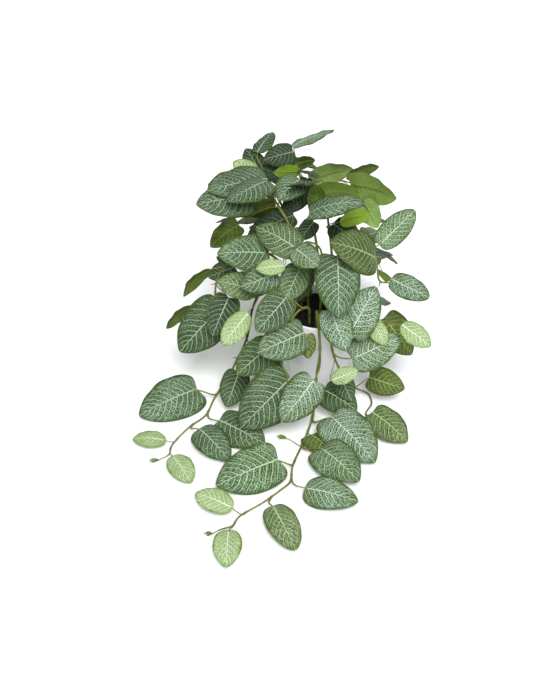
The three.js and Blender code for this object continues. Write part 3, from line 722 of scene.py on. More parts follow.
def clear_of_pot_and_ground(leaves, rings):
    """A blade stays over the ground and outside the pot's wall."""
    count = leaves.samples.shape[1]
    which = np.repeat(np.arange(len(leaves.length)), count)
    points = leaves.samples.reshape(-1, 3)
    low = GROUND_GAP + MODEL_BLADE_THICKNESS - points[:, 2]
    hit = low > 0
    push(leaves, which[hit], points[hit], low[hit, None] * np.array([0, 0, 1]))

    radius = np.hypot(points[:, 0], points[:, 1])
    inside = pot_radius(points[:, 2]) + POT_CLEARANCE - radius
    top = POT_HEIGHT + POT_CLEARANCE - points[:, 2]
    outward = points * [1, 1, 0] * (inside / radius)[:, None]
    upward = top[:, None] * np.array([0, 0, 1])
    by = np.where((np.abs(inside) < top)[:, None], outward, upward)
    hit = (inside > 0) & (top > 0)
    push(leaves, which[hit], points[hit], by[hit])

    blades, spots = (index.ravel() for index in np.indices((len(leaves.length), len(rings.points))))
    place = places_over(leaves, blades, rings.points[spots])
    way = np.where(dot(leaves.up[blades], rings.outward[spots]) < 0, -1, 1)
    short = POT_CLEARANCE + way * place.height
    hit = place.inside & (np.abs(place.height) < leaves.width[blades]) & (short > 0)
    by = leaves.up[blades] * (way * short)[:, None]
    push(leaves, blades[hit], rings.points[spots][hit], by[hit])


def pot_rings():
    """Points round the pot's outer wall, each with the direction in which it pushes."""
    flat = np.stack([*circle(POT_RING_POINTS), np.zeros(POT_RING_POINTS)], axis=1)
    points = []
    outward = []
    for share in POT_RING_SHARES:
        height = POT_HEIGHT * share
        points.append(flat * pot_radius(height) + [0, 0, height])
        outward.append(flat + [0, 0, 1 if share == 1 else 0])
    return SimpleNamespace(points=np.concatenate(points), outward=np.concatenate(outward))


def refresh(leaves):
    everyone = np.arange(len(leaves.length))
    rows = [[along, across] for along in SAMPLE_ROWS for across in SAMPLE_SIDES] + [[1, 0]]
    along, across = np.array(rows, float).T
    leaves.side = np.cross(leaves.up, leaves.along)
    leaves.samples = blade_points(leaves, everyone[:, None], along[None], across[None])
    half = np.full(len(everyone), 0.5)
    leaves.middle = blade_points(leaves, everyone, half, np.zeros_like(half))
    leaves.petioles = petiole_points(leaves, everyone, PETIOLE_SAMPLES)
    leaves.turn = np.zeros_like(leaves.base)
    leaves.shift = np.zeros_like(leaves.base)
    leaves.lever = np.ones(len(everyone))
    leaves.pushes = np.zeros(len(everyone))


def turned(vectors, axes, angles):
    cosine = np.cos(angles)[:, None]
    sine = np.sin(angles)[:, None]
    along_axis = axes * dot(axes, vectors)[:, None] * (1 - cosine)
    return vectors * cosine + np.cross(axes, vectors) * sine + along_axis


def settle(leaves):
    pushed = np.maximum(leaves.pushes, 1)[:, None]
    leaves.base = leaves.base + leaves.shift * (CLEAR_RATE * CLEAR_SHIFT) / pushed
    force = np.linalg.norm(leaves.turn, axis=1)
    axes = leaves.turn / np.maximum(force, 1e-12)[:, None]
    angles = CLEAR_RATE * force / leaves.lever
    leaves.along = turned(leaves.along, axes, angles)
    leaves.up = turned(leaves.up, axes, angles)


def grow_leaves(stems):
    rows = [row for stem in stems for row in LEAVES[stem.name]]
    leaves = lay_out(rows)
    leaves.stem = np.repeat(np.arange(len(stems)), [len(LEAVES[stem.name]) for stem in stems])
    root_petioles(leaves, stems)
    rings = pot_rings()
    stem_gaps = [CLEAR_GAP + stem.radius for stem in stems]
    stem_lines = join_lines([stem.samples for stem in stems], stem_gaps, [-1] * len(stems))
    petiole_gaps = [CLEAR_GAP] * len(rows)
    for _ in range(CLEAR_ROUNDS):
        refresh(leaves)
        part_leaves(leaves)
        clear_of_lines(leaves, join_lines(leaves.petioles, petiole_gaps, range(len(rows))))
        clear_of_lines(leaves, stem_lines)
        clear_of_pot_and_ground(leaves, rings)
        settle(leaves)
    refresh(leaves)
    return leaves


# Meshes. Points are gathered in millimetres, each face with its material and its texture places.

UV_LAYERS = ("leaf", "spot", "tone", "tint", "count")


def link(name, data):
    """A new object in the scene for a mesh, a light or a camera."""
    thing = bpy.data.objects.new(name, data)
    bpy.context.scene.collection.objects.link(thing)
    return thing


class Surface:
    """Gathers points and faces for one piece."""

    def __init__(self):
        self.points = []
        self.faces = []
        self.slots = []
        self.places = {layer: [] for layer in UV_LAYERS}
        self.count = 0

    def add(self, points, faces, slots, **places):
        """Each of places has a pair of numbers for each corner of each face, or one pair for all."""
        self.points.append(points)
        self.faces.extend([[corner + self.count for corner in face] for face in faces])
        self.slots.extend(slots)
        self.count += len(points)
        corners = sum(len(face) for face in faces)
        for layer in UV_LAYERS:
            pairs = np.asarray(places.get(layer, (0, 0)), float)
            self.places[layer].append(np.broadcast_to(pairs, (corners, 2)))

    def make(self, name, materials, sharp_angle=SHARP_ANGLE):
        mesh = bpy.data.meshes.new(name)
        mesh.from_pydata((np.concatenate(self.points) * MM).tolist(), [], self.faces)
        for material in materials:
            mesh.materials.append(material)
        mesh.polygons.foreach_set("material_index", self.slots)
        for layer in UV_LAYERS:
            values = np.concatenate(self.places[layer]).astype(np.float32)
            mesh.uv_layers.new(name=layer).data.foreach_set("uv", values.ravel())
        mesh.shade_smooth()
        mesh.set_sharp_from_angle(angle=math.radians(sharp_angle))
        return link(name, mesh)


def grid_faces(rows, columns, wrap=False):
    """Four-cornered faces over a grid of points, kept row by row."""
    width = columns if wrap else columns + 1
    faces = []
    for row in range(rows):
        for column in range(columns):
            after = (column + 1) % width
            corner = row * width
            faces.append(
                [corner + column, corner + width + column, corner + width + after, corner + after]
            )
    return faces


def closed_faces(rows, sides):
    """Faces over rings of points, each joined to the next, and one face over each end ring."""
    faces = [face[::-1] for face in grid_faces(rows, sides, wrap=True)]
    faces.append(list(range(sides))[::-1])
    faces.append([rows * sides + side for side in range(sides)])
    return faces


# Blades


def blade_template(rows, columns):
    """Both faces of a blade and the wall round its edge, as places on the blade and faces.

    The rows meet in one point at the base and at the tip."""
    along = 0.5 - 0.5 * np.cos(np.pi * np.arange(rows + 1) / rows)
    across = np.linspace(-1, 1, columns + 1)
    place = np.stack(np.meshgrid(along, across, indexing="ij"), axis=-1).reshape(-1, 2)
    width = columns + 1
    middle = columns // 2
    keep = np.arange(len(place))
    keep[:width] = middle
    keep[-width:] = rows * width + middle
    under = len(place)
    top_faces = grid_faces(rows, columns)
    under_faces = [[corner + under for corner in reversed(face)] for face in top_faces]
    edge = [row * width for row in range(rows + 1)]
    edge += [row * width + columns for row in range(rows, -1, -1)]
    wall = [[b, a, a + under, b + under] for a, b in zip(edge, edge[1:]) if keep[a] != keep[b]]
    keep = np.concatenate([keep, keep + under])
    both = np.concatenate([place, place])
    faces = []
    corner_places = []
    for face in top_faces + under_faces + wall:
        faces.append(list(dict.fromkeys(int(keep[corner]) for corner in face)))
        across_middle = both[face, 1].mean()
        for share, aside in both[faces[-1]]:
            corner_places.append([share, across_middle if share in (0, 1) else aside])
    used, index = np.unique(np.concatenate(faces), return_inverse=True)
    ends = np.cumsum([len(face) for face in faces])
    return SimpleNamespace(
        rows=rows,
        columns=columns,
        place=place,
        used=used,
        faces=[face.tolist() for face in np.split(index, ends[:-1])],
        slots=[UPPER] * len(top_faces) + [UNDER] * len(under_faces) + [UPPER] * len(wall),
        corners=np.array(corner_places),
    )


def vein_phase(along, across):
    """Counts the side veins of one half of a blade. The shader repeats this rule."""
    return along - VEIN_FORWARD * np.abs(across) ** VEIN_CURVE


def blade_surface(leaves, number, template, chance):
    """A blade's points: the model's middle surface with its midrib, quilting and wavy edge."""
    along, across = template.place.T
    middle = blade_points(leaves, number, along, across)
    grid = middle.reshape(template.rows + 1, template.columns + 1, 3)
    normal = np.cross(np.gradient(grid, axis=0), np.gradient(grid, axis=1))
    normal[0] = normal[1]
    normal[-1] = normal[-2]
    normal = unit(normal).reshape(-1, 3)

    size = leaves.length[number] / LARGE_LEAF
    aside = np.abs(across) * half_width(leaves, number, along)
    fade = np.sin(np.pi * along)
    fold = -MIDRIB_DEPTH * size * np.exp(-((aside / (MIDRIB_SPREAD * size)) ** 2))
    fold = fold * np.sin(np.pi * np.clip(along * MIDRIB_FADE, 0, 1))
    turns = vein_phase(along, across) * leaves.veins[number] + 0.5 * (across > 0)
    swell = QUILT_DEPTH * size * np.cos(2 * np.pi * turns)
    inner = np.clip(aside / (QUILT_FROM_MIDRIB * size), 0, 1) * (1 - across**4) * fade
    turns = EDGE_WAVES * along + chance * EDGE_WAVE_SHIFT + EDGE_WAVE_OFFSET * np.sign(across)
    wave = EDGE_WAVE_DEPTH * size * np.sin(2 * np.pi * turns) * across**2 * fade
    raised = fold + swell * inner + wave
    half = BLADE_THICKNESS / 2 * (1 - EDGE_THINNING * across**2)
    top = middle + normal * (raised + half)[:, None]
    under = middle + normal * (raised - half)[:, None]
    return np.concatenate([top, under])[template.used]


def add_blade(surface, leaves, number, template, chance):
    points = blade_surface(leaves, number, template, chance)
    points[:, 2] += max(0, FLOOR_CLEARANCE - points[:, 2].min())
    along, across = template.corners.T
    spacing = leaves.length[number] / leaves.veins[number]
    forward = along * leaves.length[number] / spacing
    aside = across * half_width(leaves, number, along) / spacing
    surface.add(
        points,
        template.faces,
        template.slots,
        leaf=template.corners,
        spot=np.stack([forward, aside], axis=1),
        tone=(chance, leaves.net[number]),
        tint=(leaves.yellow[number], leaves.olive[number]),
        count=(leaves.veins[number], leaves.deep[number]),
    )


# Leafy stems


def frames_along(points):
    """Directions across a line that turn with it and don't twist round it."""
    ahead = unit(np.gradient(points, axis=0))
    across = np.zeros_like(points)
    across[0] = unit(np.cross(ahead[0], TWIST_START))
    for number in range(1, len(points)):
        carried = across[number - 1] - ahead[number] * dot(across[number - 1], ahead[number])
        across[number] = unit(carried)
    return across, np.cross(ahead, across)


def add_tube(surface, points, radii, sides, chance, shift, brown=0.0):
    """A closed round tube of stem, with a radius for each point."""
    across, aside = frames_along(points)
    cosine, sine = circle(sides)
    ring = across[:, None] * cosine[None, :, None] + aside[:, None] * sine[None, :, None]
    skin = points[:, None] + ring * np.asarray(radii)[:, None, None]
    faces = closed_faces(len(points) - 1, sides)
    row, side = np.divmod(np.concatenate(faces), sides)
    run = np.concatenate([[0], np.cumsum(np.linalg.norm(np.diff(points, axis=0), axis=1))])
    brown = np.broadcast_to(brown, len(points))
    places = np.stack([shift + run[row] / STREAK_UNIT, side / sides], axis=1)
    tones = np.stack([np.full(len(row), chance), brown[row]], axis=1)
    surface.add(skin.reshape(-1, 3), faces, [STEM] * len(faces), leaf=places, tone=tones)


def add_stem(surface, stem):
    """The stem itself: thinner towards its tip, a little uneven, with a joint at each petiole."""
    points = evenly_spaced(stem.route, STEM_MESH_STEP)
    share = np.linspace(0, 1, len(points))
    radii = stem.radius * (STEM_THICKEST - STEM_TAPER * share**STEM_TAPER_POWER)
    radii = radii * (1 + RNG.uniform(-STEM_UNEVEN, STEM_UNEVEN, len(points)))
    for root in stem.roots:
        near = np.linalg.norm(points - root, axis=1) / JOINT_REACH
        radii = radii + JOINT_SWELL * np.exp(-(near**2))
    from_tip = (1 - share) * (len(points) - 1) * STEM_MESH_STEP
    radii = radii * np.clip(TIP_LEAST + from_tip / TIP_TAPER, 0, 1)
    brown = np.clip((points[:, 2] - BROWN_TO) / (BROWN_FULL - BROWN_TO), 0, 1)
    brown = brown * (stem.name == BROWN_STEM)
    chance = RNG.random()
    shift = STEM_STREAK_SHIFT * RNG.random()
    add_tube(surface, points, radii, STEM_MESH_SIDES, chance, shift, brown)


def add_petiole(surface, leaves, number, chance):
    """The petiole, which runs on under the blade as its midrib."""
    shares = np.linspace(0, 1, PETIOLE_MESH_STEPS + 1)
    free = petiole_points(leaves, number, shares)
    along = np.linspace(PETIOLE_SHARE_UNDER_BLADE, MIDRIB_END, MIDRIB_MESH_STEPS + 1)[1:]
    size = np.clip(leaves.length[number] / LARGE_LEAF, SMALLEST_PETIOLE, 1)
    run_out = np.clip(MIDRIB_RUN_OUT * (1 - along), 0, 1)
    depth = PETIOLE_DROP + MIDRIB_COVER + MIDRIB_DEPTH * size * run_out
    under = blade_points(leaves, number, along, np.zeros_like(along), -depth)
    sunk = shares[:, None] ** PETIOLE_SINK_POWER * (depth[0] - PETIOLE_DROP)
    points = np.concatenate([free - leaves.up[number] * sunk, under])
    at_leaf = PETIOLE_THINNEST * size
    joint = JOINT_SWELL * np.exp(-np.arange(len(free)) / JOINT_FADE)
    radii = np.concatenate([
        np.linspace(PETIOLE_THICKEST * size, at_leaf, len(free)) + joint,
        np.linspace(at_leaf, MIDRIB_THINNEST * size, len(under)),
    ])
    points[:, 2] = np.maximum(points[:, 2], radii + FLOOR_CLEARANCE)
    add_tube(surface, points, radii, PETIOLE_MESH_SIDES, chance, STREAK_SHIFT * chance)


def add_spur(surface, root, heading, along):
    """A short pointed stub beside the petiole that leaves a stem at its root."""
    away = unit(heading + SPUR_LEAN * unit(np.cross(heading, along)))
    length = RNG.uniform(*SPUR_LENGTHS)
    chance = RNG.random()
    share = np.linspace(0, 1, SPUR_RINGS)[:, None]
    bend = unit(np.cross(away, SPUR_BENDS_FROM)) * length * SPUR_BEND
    points = root + away * length * share + bend * share**2
    radii = SPUR_RADIUS * (1 - share[:, 0]) ** SPUR_POWER + SPUR_TIP
    add_tube(surface, points, radii, SPUR_SIDES, chance, STREAK_SHIFT * chance)


def add_end_bud(surface, leaves, number, template):
    """Small folded leaflets that open out of the tip of a stem."""
    base = leaves.base[number]
    along = leaves.along[number]
    across, aside = frames_along(np.array([base, base + along]))
    rows = []
    for leaflet in range(END_LEAFLETS):
        angle = 2 * math.pi * (leaflet / END_LEAFLETS + LEAFLET_SWAY * RNG.random())
        outward = across[0] * math.cos(angle) + aside[0] * math.sin(angle)
        spread = RNG.uniform(*LEAFLET_SPREADS)
        length = leaves.length[number] * RNG.uniform(*LEAFLET_SHARES)
        tip = base + unit(along + outward * spread) * length
        rows.append(("bud", *(base - along * LEAFLET_SETBACK), *tip, 0))
    leaflets = lay_out(rows)
    leaflets.up = unit(along - leaflets.along * dot(leaflets.along, along)[:, None])
    leaflets.side = np.cross(leaflets.up, leaflets.along)
    for leaflet in range(END_LEAFLETS):
        lowest = blade_points(leaflets, leaflet, *template.place.T)[:, 2].min()
        leaflets.base[leaflet, 2] += max(0, GROUND_GAP - lowest)
        add_blade(surface, leaflets, leaflet, template, RNG.random())


def stand_in(piece, node):
    """The piece stands for a node of the model, whose own part is hidden."""
    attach(piece, "root")
    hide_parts(node)


def make_leafy_stem(stem_number, stem, leaves, templates, materials):
    surface = Surface()
    mine = np.flatnonzero(leaves.stem == stem_number)
    stem.roots = leaves.root[mine]
    add_stem(surface, stem)
    for number in mine:
        chance = RNG.random()
        add_petiole(surface, leaves, number, chance)
        is_bud = leaves.kind[number] == "bud"
        template = templates["small" if is_bud else "large"]
        add_blade(surface, leaves, number, template, chance)
        root = leaves.root[number]
        if is_bud:
            add_end_bud(surface, leaves, number, template)
        elif RNG.random() < SPUR_SHARE and root[2] > SPUR_LOWEST:
            add_spur(surface, root, leaves.heading[number], leaves.along[number])
    stand_in(surface.make("leafy_" + stem.name, materials), stem.name)


# The pot and the soil in it


def turned_profile(profile, sides):
    """Points and faces of a closed form turned round the upright axis, from its first to last point."""
    radius, height = np.array(profile, float).T
    points = np.zeros((len(profile), sides, 3))
    points[:, :, :2] = radius[:, None, None] * np.stack(circle(sides), axis=1)
    points[:, :, 2] = height[:, None]
    return points.reshape(-1, 3), closed_faces(len(profile) - 1, sides)


def rounded(start, corner, end, steps=5):
    """A corner of a profile, rounded from start to end."""
    share = np.linspace(0, 1, steps + 1)[:, None]
    start, corner, end = (np.array(point, float) for point in (start, corner, end))
    curve = (1 - share) ** 2 * start + 2 * share * (1 - share) * corner + share**2 * end
    return curve.tolist()


def make_pot(material):
    inner_top = POT_TOP_RADIUS - POT_WALL
    inner_base = pot_radius(POT_FLOOR) - POT_WALL
    middle = (POT_TOP_RADIUS - POT_WALL / 2, POT_HEIGHT)
    under_rim = POT_HEIGHT - POT_EDGE
    walls = np.linspace(POT_WALL_INSET, POT_HEIGHT - POT_WALL_INSET, POT_WALL_ROWS)
    profile = [
        (AXIS_RADIUS, 0),
        *rounded((POT_BASE_RADIUS - POT_EDGE, 0), (POT_BASE_RADIUS, 0), (pot_radius(POT_EDGE), POT_EDGE)),
        *[(pot_radius(height), height) for height in walls],
        *rounded((pot_radius(under_rim), under_rim), (POT_TOP_RADIUS, POT_HEIGHT), middle),
        *rounded(middle, (inner_top, POT_HEIGHT), (inner_top, under_rim))[1:],
        (inner_top - POT_BEND_IN, POT_HEIGHT - POT_BEND_DOWN),
        (inner_base, POT_FLOOR),
        (AXIS_RADIUS, POT_FLOOR),
    ]
    surface = Surface()
    points, faces = turned_profile(profile, POT_SIDES)
    surface.add(points, faces, [0] * len(faces))
    stand_in(surface.make("planter_pot", [material]), "pot")


def soil_height(x, y):
    """The top of the soil: a low crown with small lumps."""
    radius = np.hypot(x, y) / (pot_radius(SOIL_TOP) - POT_WALL)
    lumps = sum(
        depth * np.sin(x * wave + LUMP_TURN * turn) * np.cos(y * wave * LUMP_SKEW + turn)
        for turn, (wave, depth) in enumerate(SOIL_LUMPS)
    )
    return SOIL_TOP + SOIL_CROWN * (1 - radius**2) + lumps


def lump_corners():
    """The corners of an even lump with twelve corners and twenty faces."""
    corners = []
    for first in (-1, 1):
        for second in (-GOLDEN, GOLDEN):
            corners += [(0, first, second), (first, second, 0), (second, 0, first)]
    return np.array(corners)


def lump_faces():
    """The faces of the lump: each three corners that are nearest to each other."""
    corners = lump_corners()
    faces = []
    for a, b, c in itertools.combinations(range(len(corners)), 3):
        sides = [np.linalg.norm(corners[i] - corners[j]) for i, j in ((a, b), (b, c), (c, a))]
        if np.allclose(sides, 2):
            outward = np.dot(np.cross(corners[b] - corners[a], corners[c] - corners[a]), corners[a])
            faces.append([a, b, c] if outward > 0 else [a, c, b])
    return faces


def crumb_points(size):
    """The corners of an uneven lump, turned at random."""
    corners = lump_corners() / math.hypot(1, GOLDEN) * RNG.uniform(*CRUMB_STRETCH, 3)
    corners = corners * RNG.uniform(*CRUMB_UNEVEN, (len(corners), 1))
    return corners @ np.linalg.qr(RNG.normal(size=(3, 3)))[0] * size


def make_soil(material):
    floor = POT_FLOOR + SEAT_GAP
    rim = pot_radius(SOIL_TOP) - POT_WALL - SEAT_GAP / 2
    base = pot_radius(floor) - POT_WALL - SEAT_GAP
    cosine, sine = circle(SOIL_SIDES)
    rings = np.linspace(SOIL_CENTRE, 1, SOIL_RINGS + 1) * rim
    x, y = np.outer(rings, cosine), np.outer(rings, sine)
    top = np.stack([x, y, soil_height(x, y)], axis=-1).reshape(-1, 3)
    bottom = np.stack([base * cosine, base * sine, np.full(SOIL_SIDES, floor)], axis=1)
    faces = [face[::-1] for face in closed_faces(SOIL_RINGS + 1, SOIL_SIDES)]
    surface = Surface()
    surface.add(np.concatenate([top, bottom]), faces, [0] * len(faces), tone=(SOIL_TONE, 0))
    lump = lump_faces()
    for _ in range(CRUMBS):
        distance = (rim - CRUMB_MARGIN) * math.sqrt(RNG.random())
        turn = 2 * math.pi * RNG.random()
        x, y = distance * math.cos(turn), distance * math.sin(turn)
        size = CRUMB_SMALLEST + (CRUMB_LARGEST - CRUMB_SMALLEST) * RNG.random() ** CRUMB_RARITY
        place = np.array([x, y, float(soil_height(x, y)) + size * CRUMB_LIFT])
        surface.add(crumb_points(size) + place, lump, [0] * len(lump), tone=(RNG.random(), 1))
    stand_in(surface.make("potting_mix", [material], SHARP_SOIL_ANGLE), "soil")


# Materials


def colour(text):
    """A colour written as red, green and blue in hexadecimal, as linear values."""
    parts = [int(text[place : place + 2], 16) / 255 for place in (0, 2, 4)]
    linear = [part / 12.92 if part <= 0.04045 else ((part + 0.055) / 1.055) ** 2.4 for part in parts]
    return (*linear, 1)


class Value:
    """What a node gives. What is done with it adds nodes to the same graph."""

    def __init__(self, graph, socket):
        self.graph = graph
        self.socket = socket

    def fade(self, start, end, low=0.0, high=1.0):
        """Goes smoothly from low to high as this value goes from start to end."""
        inputs = {0: self, 1: start, 2: end, 3: low, 4: high}
        return self.graph.node("ShaderNodeMapRange", inputs, interpolation_type="SMOOTHSTEP")

    def blend(self, first, second):
        """A mix of two colours, with this value as the second one's share."""
        inputs = {0: self, 6: first, 7: second}
        return self.graph.node("ShaderNodeMix", inputs, output=2, data_type="RGBA")

    def cover(self, share, over):
        """This colour with another laid over it."""
        return share.blend(self, over)


OPERATIONS = {
    "__add__": "ADD",
    "__sub__": "SUBTRACT",
    "__mul__": "MULTIPLY",
    "__truediv__": "DIVIDE",
    "__pow__": "POWER",
    "__abs__": "ABSOLUTE",
    "above": "GREATER_THAN",
    "fraction": "FRACT",
    "most": "MAXIMUM",
}


def give_operation(method, operation):
    """Lets a value be worked with by one kind of sum, which adds a node."""
    setattr(Value, method, lambda value, *others: value.graph.math(operation, value, *others))


for method, operation in OPERATIONS.items():
    give_operation(method, operation)


class Graph:
    """A short way to write the nodes of a material or world. Colours are written in hexadecimal."""

    def __init__(self, owner, shader="Principled BSDF"):
        owner.use_nodes = True
        self.owner = owner
        self.tree = owner.node_tree
        self.shader = self.tree.nodes[shader]

    def feed(self, socket, value):
        if isinstance(value, Value):
            self.tree.links.new(value.socket, socket)
        else:
            socket.default_value = colour(value) if isinstance(value, str) else value

    def node(self, kind, inputs, output=0, **settings):
        node = self.tree.nodes.new(kind)
        for name, value in settings.items():
            setattr(node, name, value)
        for name, value in inputs.items():
            self.feed(node.inputs[name], value)
        return Value(self, node.outputs[output])

    def math(self, operation, *values, clamp=False):
        inputs = dict(enumerate(values))
        return self.node("ShaderNodeMath", inputs, operation=operation, use_clamp=clamp)

    def pair(self, layer):
        """The two numbers kept for each corner in a texture layer."""
        place = self.node("ShaderNodeUVMap", {}, uv_map=layer)
        return [self.node("ShaderNodeSeparateXYZ", {0: place}, output) for output in (0, 1)]

    def object_place(self):
        return self.node("ShaderNodeTexCoord", {}, output=3)

    def vector(self, x, y):
        return self.node("ShaderNodeCombineXYZ", {0: x, 1: y})

    def noise(self, place, scale, detail, roughness=0.5):
        inputs = {"Vector": place, "Scale": scale, "Detail": detail, "Roughness": roughness}
        return self.node("ShaderNodeTexNoise", inputs)

    def finish(self, base, roughness, specular, height=None, distance=0.0, strength=1.0):
        """The material, with a bump by height where one is given."""
        self.feed(self.shader.inputs["Base Color"], base)
        self.feed(self.shader.inputs["Roughness"], roughness)
        self.shader.inputs["Specular IOR Level"].default_value = specular
        if height is not None:
            inputs = {"Height": height, "Distance": distance, "Strength": strength}
            self.feed(self.shader.inputs["Normal"], self.node("ShaderNodeBump", inputs))
        return self.owner


def vein_shares(graph):
    """How much of a midrib, of a side vein and of the fine net lies at a place on a blade."""
    vein = SimpleNamespace()
    vein.along, across = graph.pair("leaf")
    forward, aside = graph.pair("spot")
    vein.chance, vein.net = graph.pair("tone")
    vein.yellow, vein.olive = graph.pair("tint")
    veins, vein.deep = graph.pair("count")
    vein.edge = abs(across)
    turned = vein.chance * 43
    vein.place = graph.vector(forward + turned, aside)
    sway = graph.noise(vein.place, 0.7, 2) - 0.5
    shake = graph.noise(vein.place, 2.6, 2) - 0.5

    # The side veins lie where the phase is half way between two whole numbers
    phase = (vein.along - vein.edge**VEIN_CURVE * VEIN_FORWARD) * veins
    phase = phase + across.above(0) * 0.5 + sway * 0.55 + shake * 0.14
    off = abs(phase.fraction() - 0.5)
    vein.side = (off / vein.edge.fade(0, 0.9, 0.07, 0.045)).fade(0.4, 1.7, 1, 0)
    vein.beside = off.fade(0, 0.3, 1, 0)
    vein.minor = off.fade(0.44, 0.49) * shake.fade(-0.12, 0.05)
    vein.midrib = (abs(aside) / vein.along.fade(0, 1, 0.1, 0.03)).fade(0.5, 1.5, 1, 0)

    # The net is the walls between uneven cells
    cell = graph.vector(phase * NET_CELLS + turned, aside * NET_LENGTHWISE + shake * 1.2)
    cells = graph.node(
        "ShaderNodeTexVoronoi",
        {"Vector": cell, "Scale": 1, "Randomness": 0.95},
        voronoi_dimensions="2D",
        feature="DISTANCE_TO_EDGE",
    )
    vein.line = cells.fade(0.02, 0.18, 1, 0)
    vein.glow = cells.fade(0, 0.4, 1, 0)

    # The share of the net and its ground that is left towards the uneven rim and the tip
    within = (vein.edge + sway * 0.5 + shake * 0.25).fade(0.8, 1, 1, 0)
    vein.within = within * vein.along.fade(0.87, 0.98, 1, 0)
    return vein


def leaf_face():
    """The upper face: dark green between a pale net of veins, with a plain darker rim, and painted shade
    that darkens high and shaded leaves.
    """
    graph = Graph(bpy.data.materials.new("leaf_face"))
    vein = vein_shares(graph)
    patch = graph.noise(vein.place, 0.24, 3)
    mottle = graph.noise(vein.place, 3.2, 2)
    # The deep tint, partly the leaf's own tone and partly painted shade, fades the net and darkens the
    # greens
    strength = vein.net * patch.fade(0.35, 0.65, 0.65, 1.15) * vein.deep.fade(0, 1, 1, 0.7)
    inner = graph.math("MULTIPLY", vein.within, strength, clamp=True)
    fine = vein.line.most(vein.minor * 0.85) * inner * 0.72
    side = vein.side * vein.net.fade(0.2, 0.9, 0.65, 1) * mottle.fade(0.35, 0.6, 0.6, 1)
    side = side * vein.edge.fade(0.75, 0.98, 1, 0)
    lines = fine.most(side).most(vein.midrib)

    drawn = (vein.chance * 7.3).fraction()
    olive = vein.olive.most(drawn.fade(0.5, 1.4)).most(patch.fade(0.52, 0.3, 0, 0.45))
    green = drawn.blend("173410", "234319").cover(olive, "31450c").cover(vein.deep, "192d14")
    green = green.cover(vein.yellow, patch.blend("64833f", "7b944e"))
    pale = olive.blend("678b63", "6a7a33").cover(vein.yellow, "9fb77d")
    halo = vein.glow.most(vein.beside * 0.8) * inner * 0.42
    halo = halo + mottle.fade(0.45, 0.75) * (inner * 0.22)
    rim = drawn.blend("314a1a", "526627").cover(vein.olive, "414d12").cover(vein.yellow, "5f7f38")
    ground = halo.blend(green, pale).cover(vein.within.fade(0, 1, 0.8, 0), rim)
    white = vein.net.fade(0.7, 1).blend("b1c9a6", "b9ccb7").cover(olive, "a6b672")
    white = white.cover(vein.deep, "9fb598").cover(vein.yellow, "d2dfc2")
    # Painted shade: past one, the deep tint darkens the whole face toward near black
    base = lines.blend(ground, white).cover(vein.deep.fade(1, 2, 0, 0.6), "0b1408")

    grain = graph.noise(vein.place, 14, 2)
    height = lines * -0.8 + grain * 0.3 - vein.glow * 0.7
    return graph.finish(base, grain.fade(0.2, 0.8, 0.5, 0.64), 0.15, height, 0.0004, 0.6)


def leaf_back():
    """The underside: plain olive green, darker on olive leaves, with the veins only just lighter."""
    graph = Graph(bpy.data.materials.new("leaf_back"))
    vein = vein_shares(graph)
    patch = graph.noise(vein.place, 0.3, 3)
    drawn = (vein.chance * 5.7).fraction()
    base = drawn.fade(0.1, 0.9).blend("5b7526", "87a35a").cover(vein.olive.fade(0.3, 0.9), "2b3b04")
    base = base.cover(patch.fade(0.3, 0.75, 0, 0.35), "6f8840").cover(vein.yellow, "6d8e20")
    lines = (vein.side * 0.6).most(vein.midrib).most(vein.line * 0.2)
    lines = lines * vein.olive.fade(0.3, 1, 0.45, 0.25)
    base = base.cover(lines, "a9b96c")
    grain = graph.noise(vein.place, 12, 2)
    roughness = grain.fade(0.2, 0.8, 0.5, 0.66)
    return graph.finish(base, roughness, 0.15, lines + grain * 0.4, 0.0004, 0.6)


def stem_skin():
    """Moulded stems: olive and yellow green, with brown stretches and fine streaks."""
    graph = Graph(bpy.data.materials.new("stem_skin"))
    run, around = graph.pair("leaf")
    chance, brown = graph.pair("tone")
    stretch = graph.noise(graph.vector(run + chance * 31, around), 0.35, 2)
    streaks = graph.noise(graph.vector(run, around * 6), 3, 3)
    base = stretch.fade(0.35, 0.65).blend("6d7430", "515425")
    base = base.cover(stretch.fade(0.56, 0.72, 0, 0.75), "4c3d24")
    base = base.cover(streaks.fade(0.35, 0.75, 0, 0.4), "949a52").cover(brown, "352b1a")
    return graph.finish(base, streaks.fade(0.2, 0.8, 0.48, 0.62), 0.25, streaks, 0.0003, 0.6)


def pot_skin():
    """Satin white moulding, with a slight unevenness and a little painted shade towards the base, where
    it meets the floor.
    """
    graph = Graph(bpy.data.materials.new("pot_skin"))
    place = graph.object_place()
    cloud = graph.noise(place, 18, 4)
    fine = graph.noise(place, 260, 2)
    height = graph.node("ShaderNodeSeparateXYZ", {0: place}, output=2)
    # Painted shade: a patchy greyer colour over the lowest 30 mm of the pot, where it stands on the floor
    painted_foot_shade = height.fade(0.03, 0) * cloud.fade(0.35, 0.7) * 0.35
    base = cloud.fade(0.3, 0.7).blend("ecebee", "e4e4e8").cover(painted_foot_shade, "c9c3b8")
    return graph.finish(base, fine.fade(0.3, 0.7, 0.34, 0.46), 0.45, fine, 0.0001, 0.4)


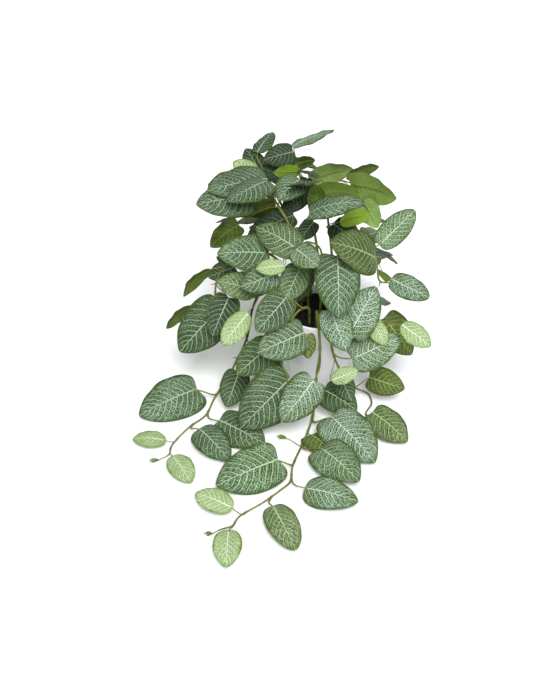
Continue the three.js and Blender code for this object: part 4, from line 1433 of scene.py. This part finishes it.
def soil_skin():
    """Dark potting mix, with browner and paler bits among it."""
    graph = Graph(bpy.data.materials.new("soil_skin"))
    place = graph.object_place()
    chance, bit = graph.pair("tone")
    grain = graph.noise(place, 420, 4, 0.7)
    brown = chance.fade(0.2, 1).blend("0e0d0a", "27221a")
    base = grain.fade(0.3, 0.75).blend("080907", "1b1a15").cover(bit * 0.6, brown)
    return graph.finish(base, 0.93, 0.25, grain, 0.0006, 0.9)


def floor_paint():
    return Graph(bpy.data.materials.new("floor_paint")).finish("fafafc", 0.9, 0.1)


# The studio


def make_floor():
    surface = Surface()
    half = FLOOR_SIZE / 2
    corners = np.array([[-half, -half, 0], [half, -half, 0], [half, half, 0], [-half, half, 0]])
    surface.add(corners, [[0, 1, 2, 3]], [0])
    surface.make("floor", [floor_paint()])


def make_camera():
    camera = bpy.data.cameras.new("camera")
    camera.lens = CAMERA_LENS
    camera.sensor_width = CAMERA_SENSOR
    camera.clip_end = 100
    holder = link("camera", camera)
    holder.location = CAMERA_PLACE
    holder.rotation_euler = (math.radians(90 - CAMERA_DOWN), 0, 0)
    bpy.context.scene.camera = holder


def light_room():
    """A pale room, brightest at the level of the ground, and a broad soft key light from the front."""
    room = Graph(bpy.data.worlds.new("room"), "Background")
    place = room.node("ShaderNodeTexCoord", {})
    height = room.node("ShaderNodeSeparateXYZ", {0: place}, output=2)
    strength = height.fade(0, ROOM_DIMS_BY, LEVEL_LIGHT, ROOM_LIGHT)
    room.feed(room.shader.inputs["Color"], "fdfdff")
    room.feed(room.shader.inputs["Strength"], strength)
    bpy.context.scene.world = room.owner
    key = bpy.data.lights.new("key", "SUN")
    key.energy = KEY_LIGHT
    key.angle = math.radians(KEY_WIDTH)
    turns = (math.radians(90 - KEY_DOWN), 0, math.radians(KEY_COMPASS + 90))
    link("key", key).rotation_euler = turns
    bpy.context.scene.view_settings.view_transform = "Standard"


def make_plant():
    materials = [leaf_face(), leaf_back(), stem_skin()]
    templates = {size: blade_template(*grid) for size, grid in BLADE_GRIDS.items()}
    stems = [make_stem(name) for name in ROUTES]
    leaves = grow_leaves(stems)
    for number, stem in enumerate(stems):
        make_leafy_stem(number, stem, leaves, templates, materials)


make_camera()
light_room()
make_floor()
make_pot(pot_skin())
make_soil(soil_skin())
make_plant()
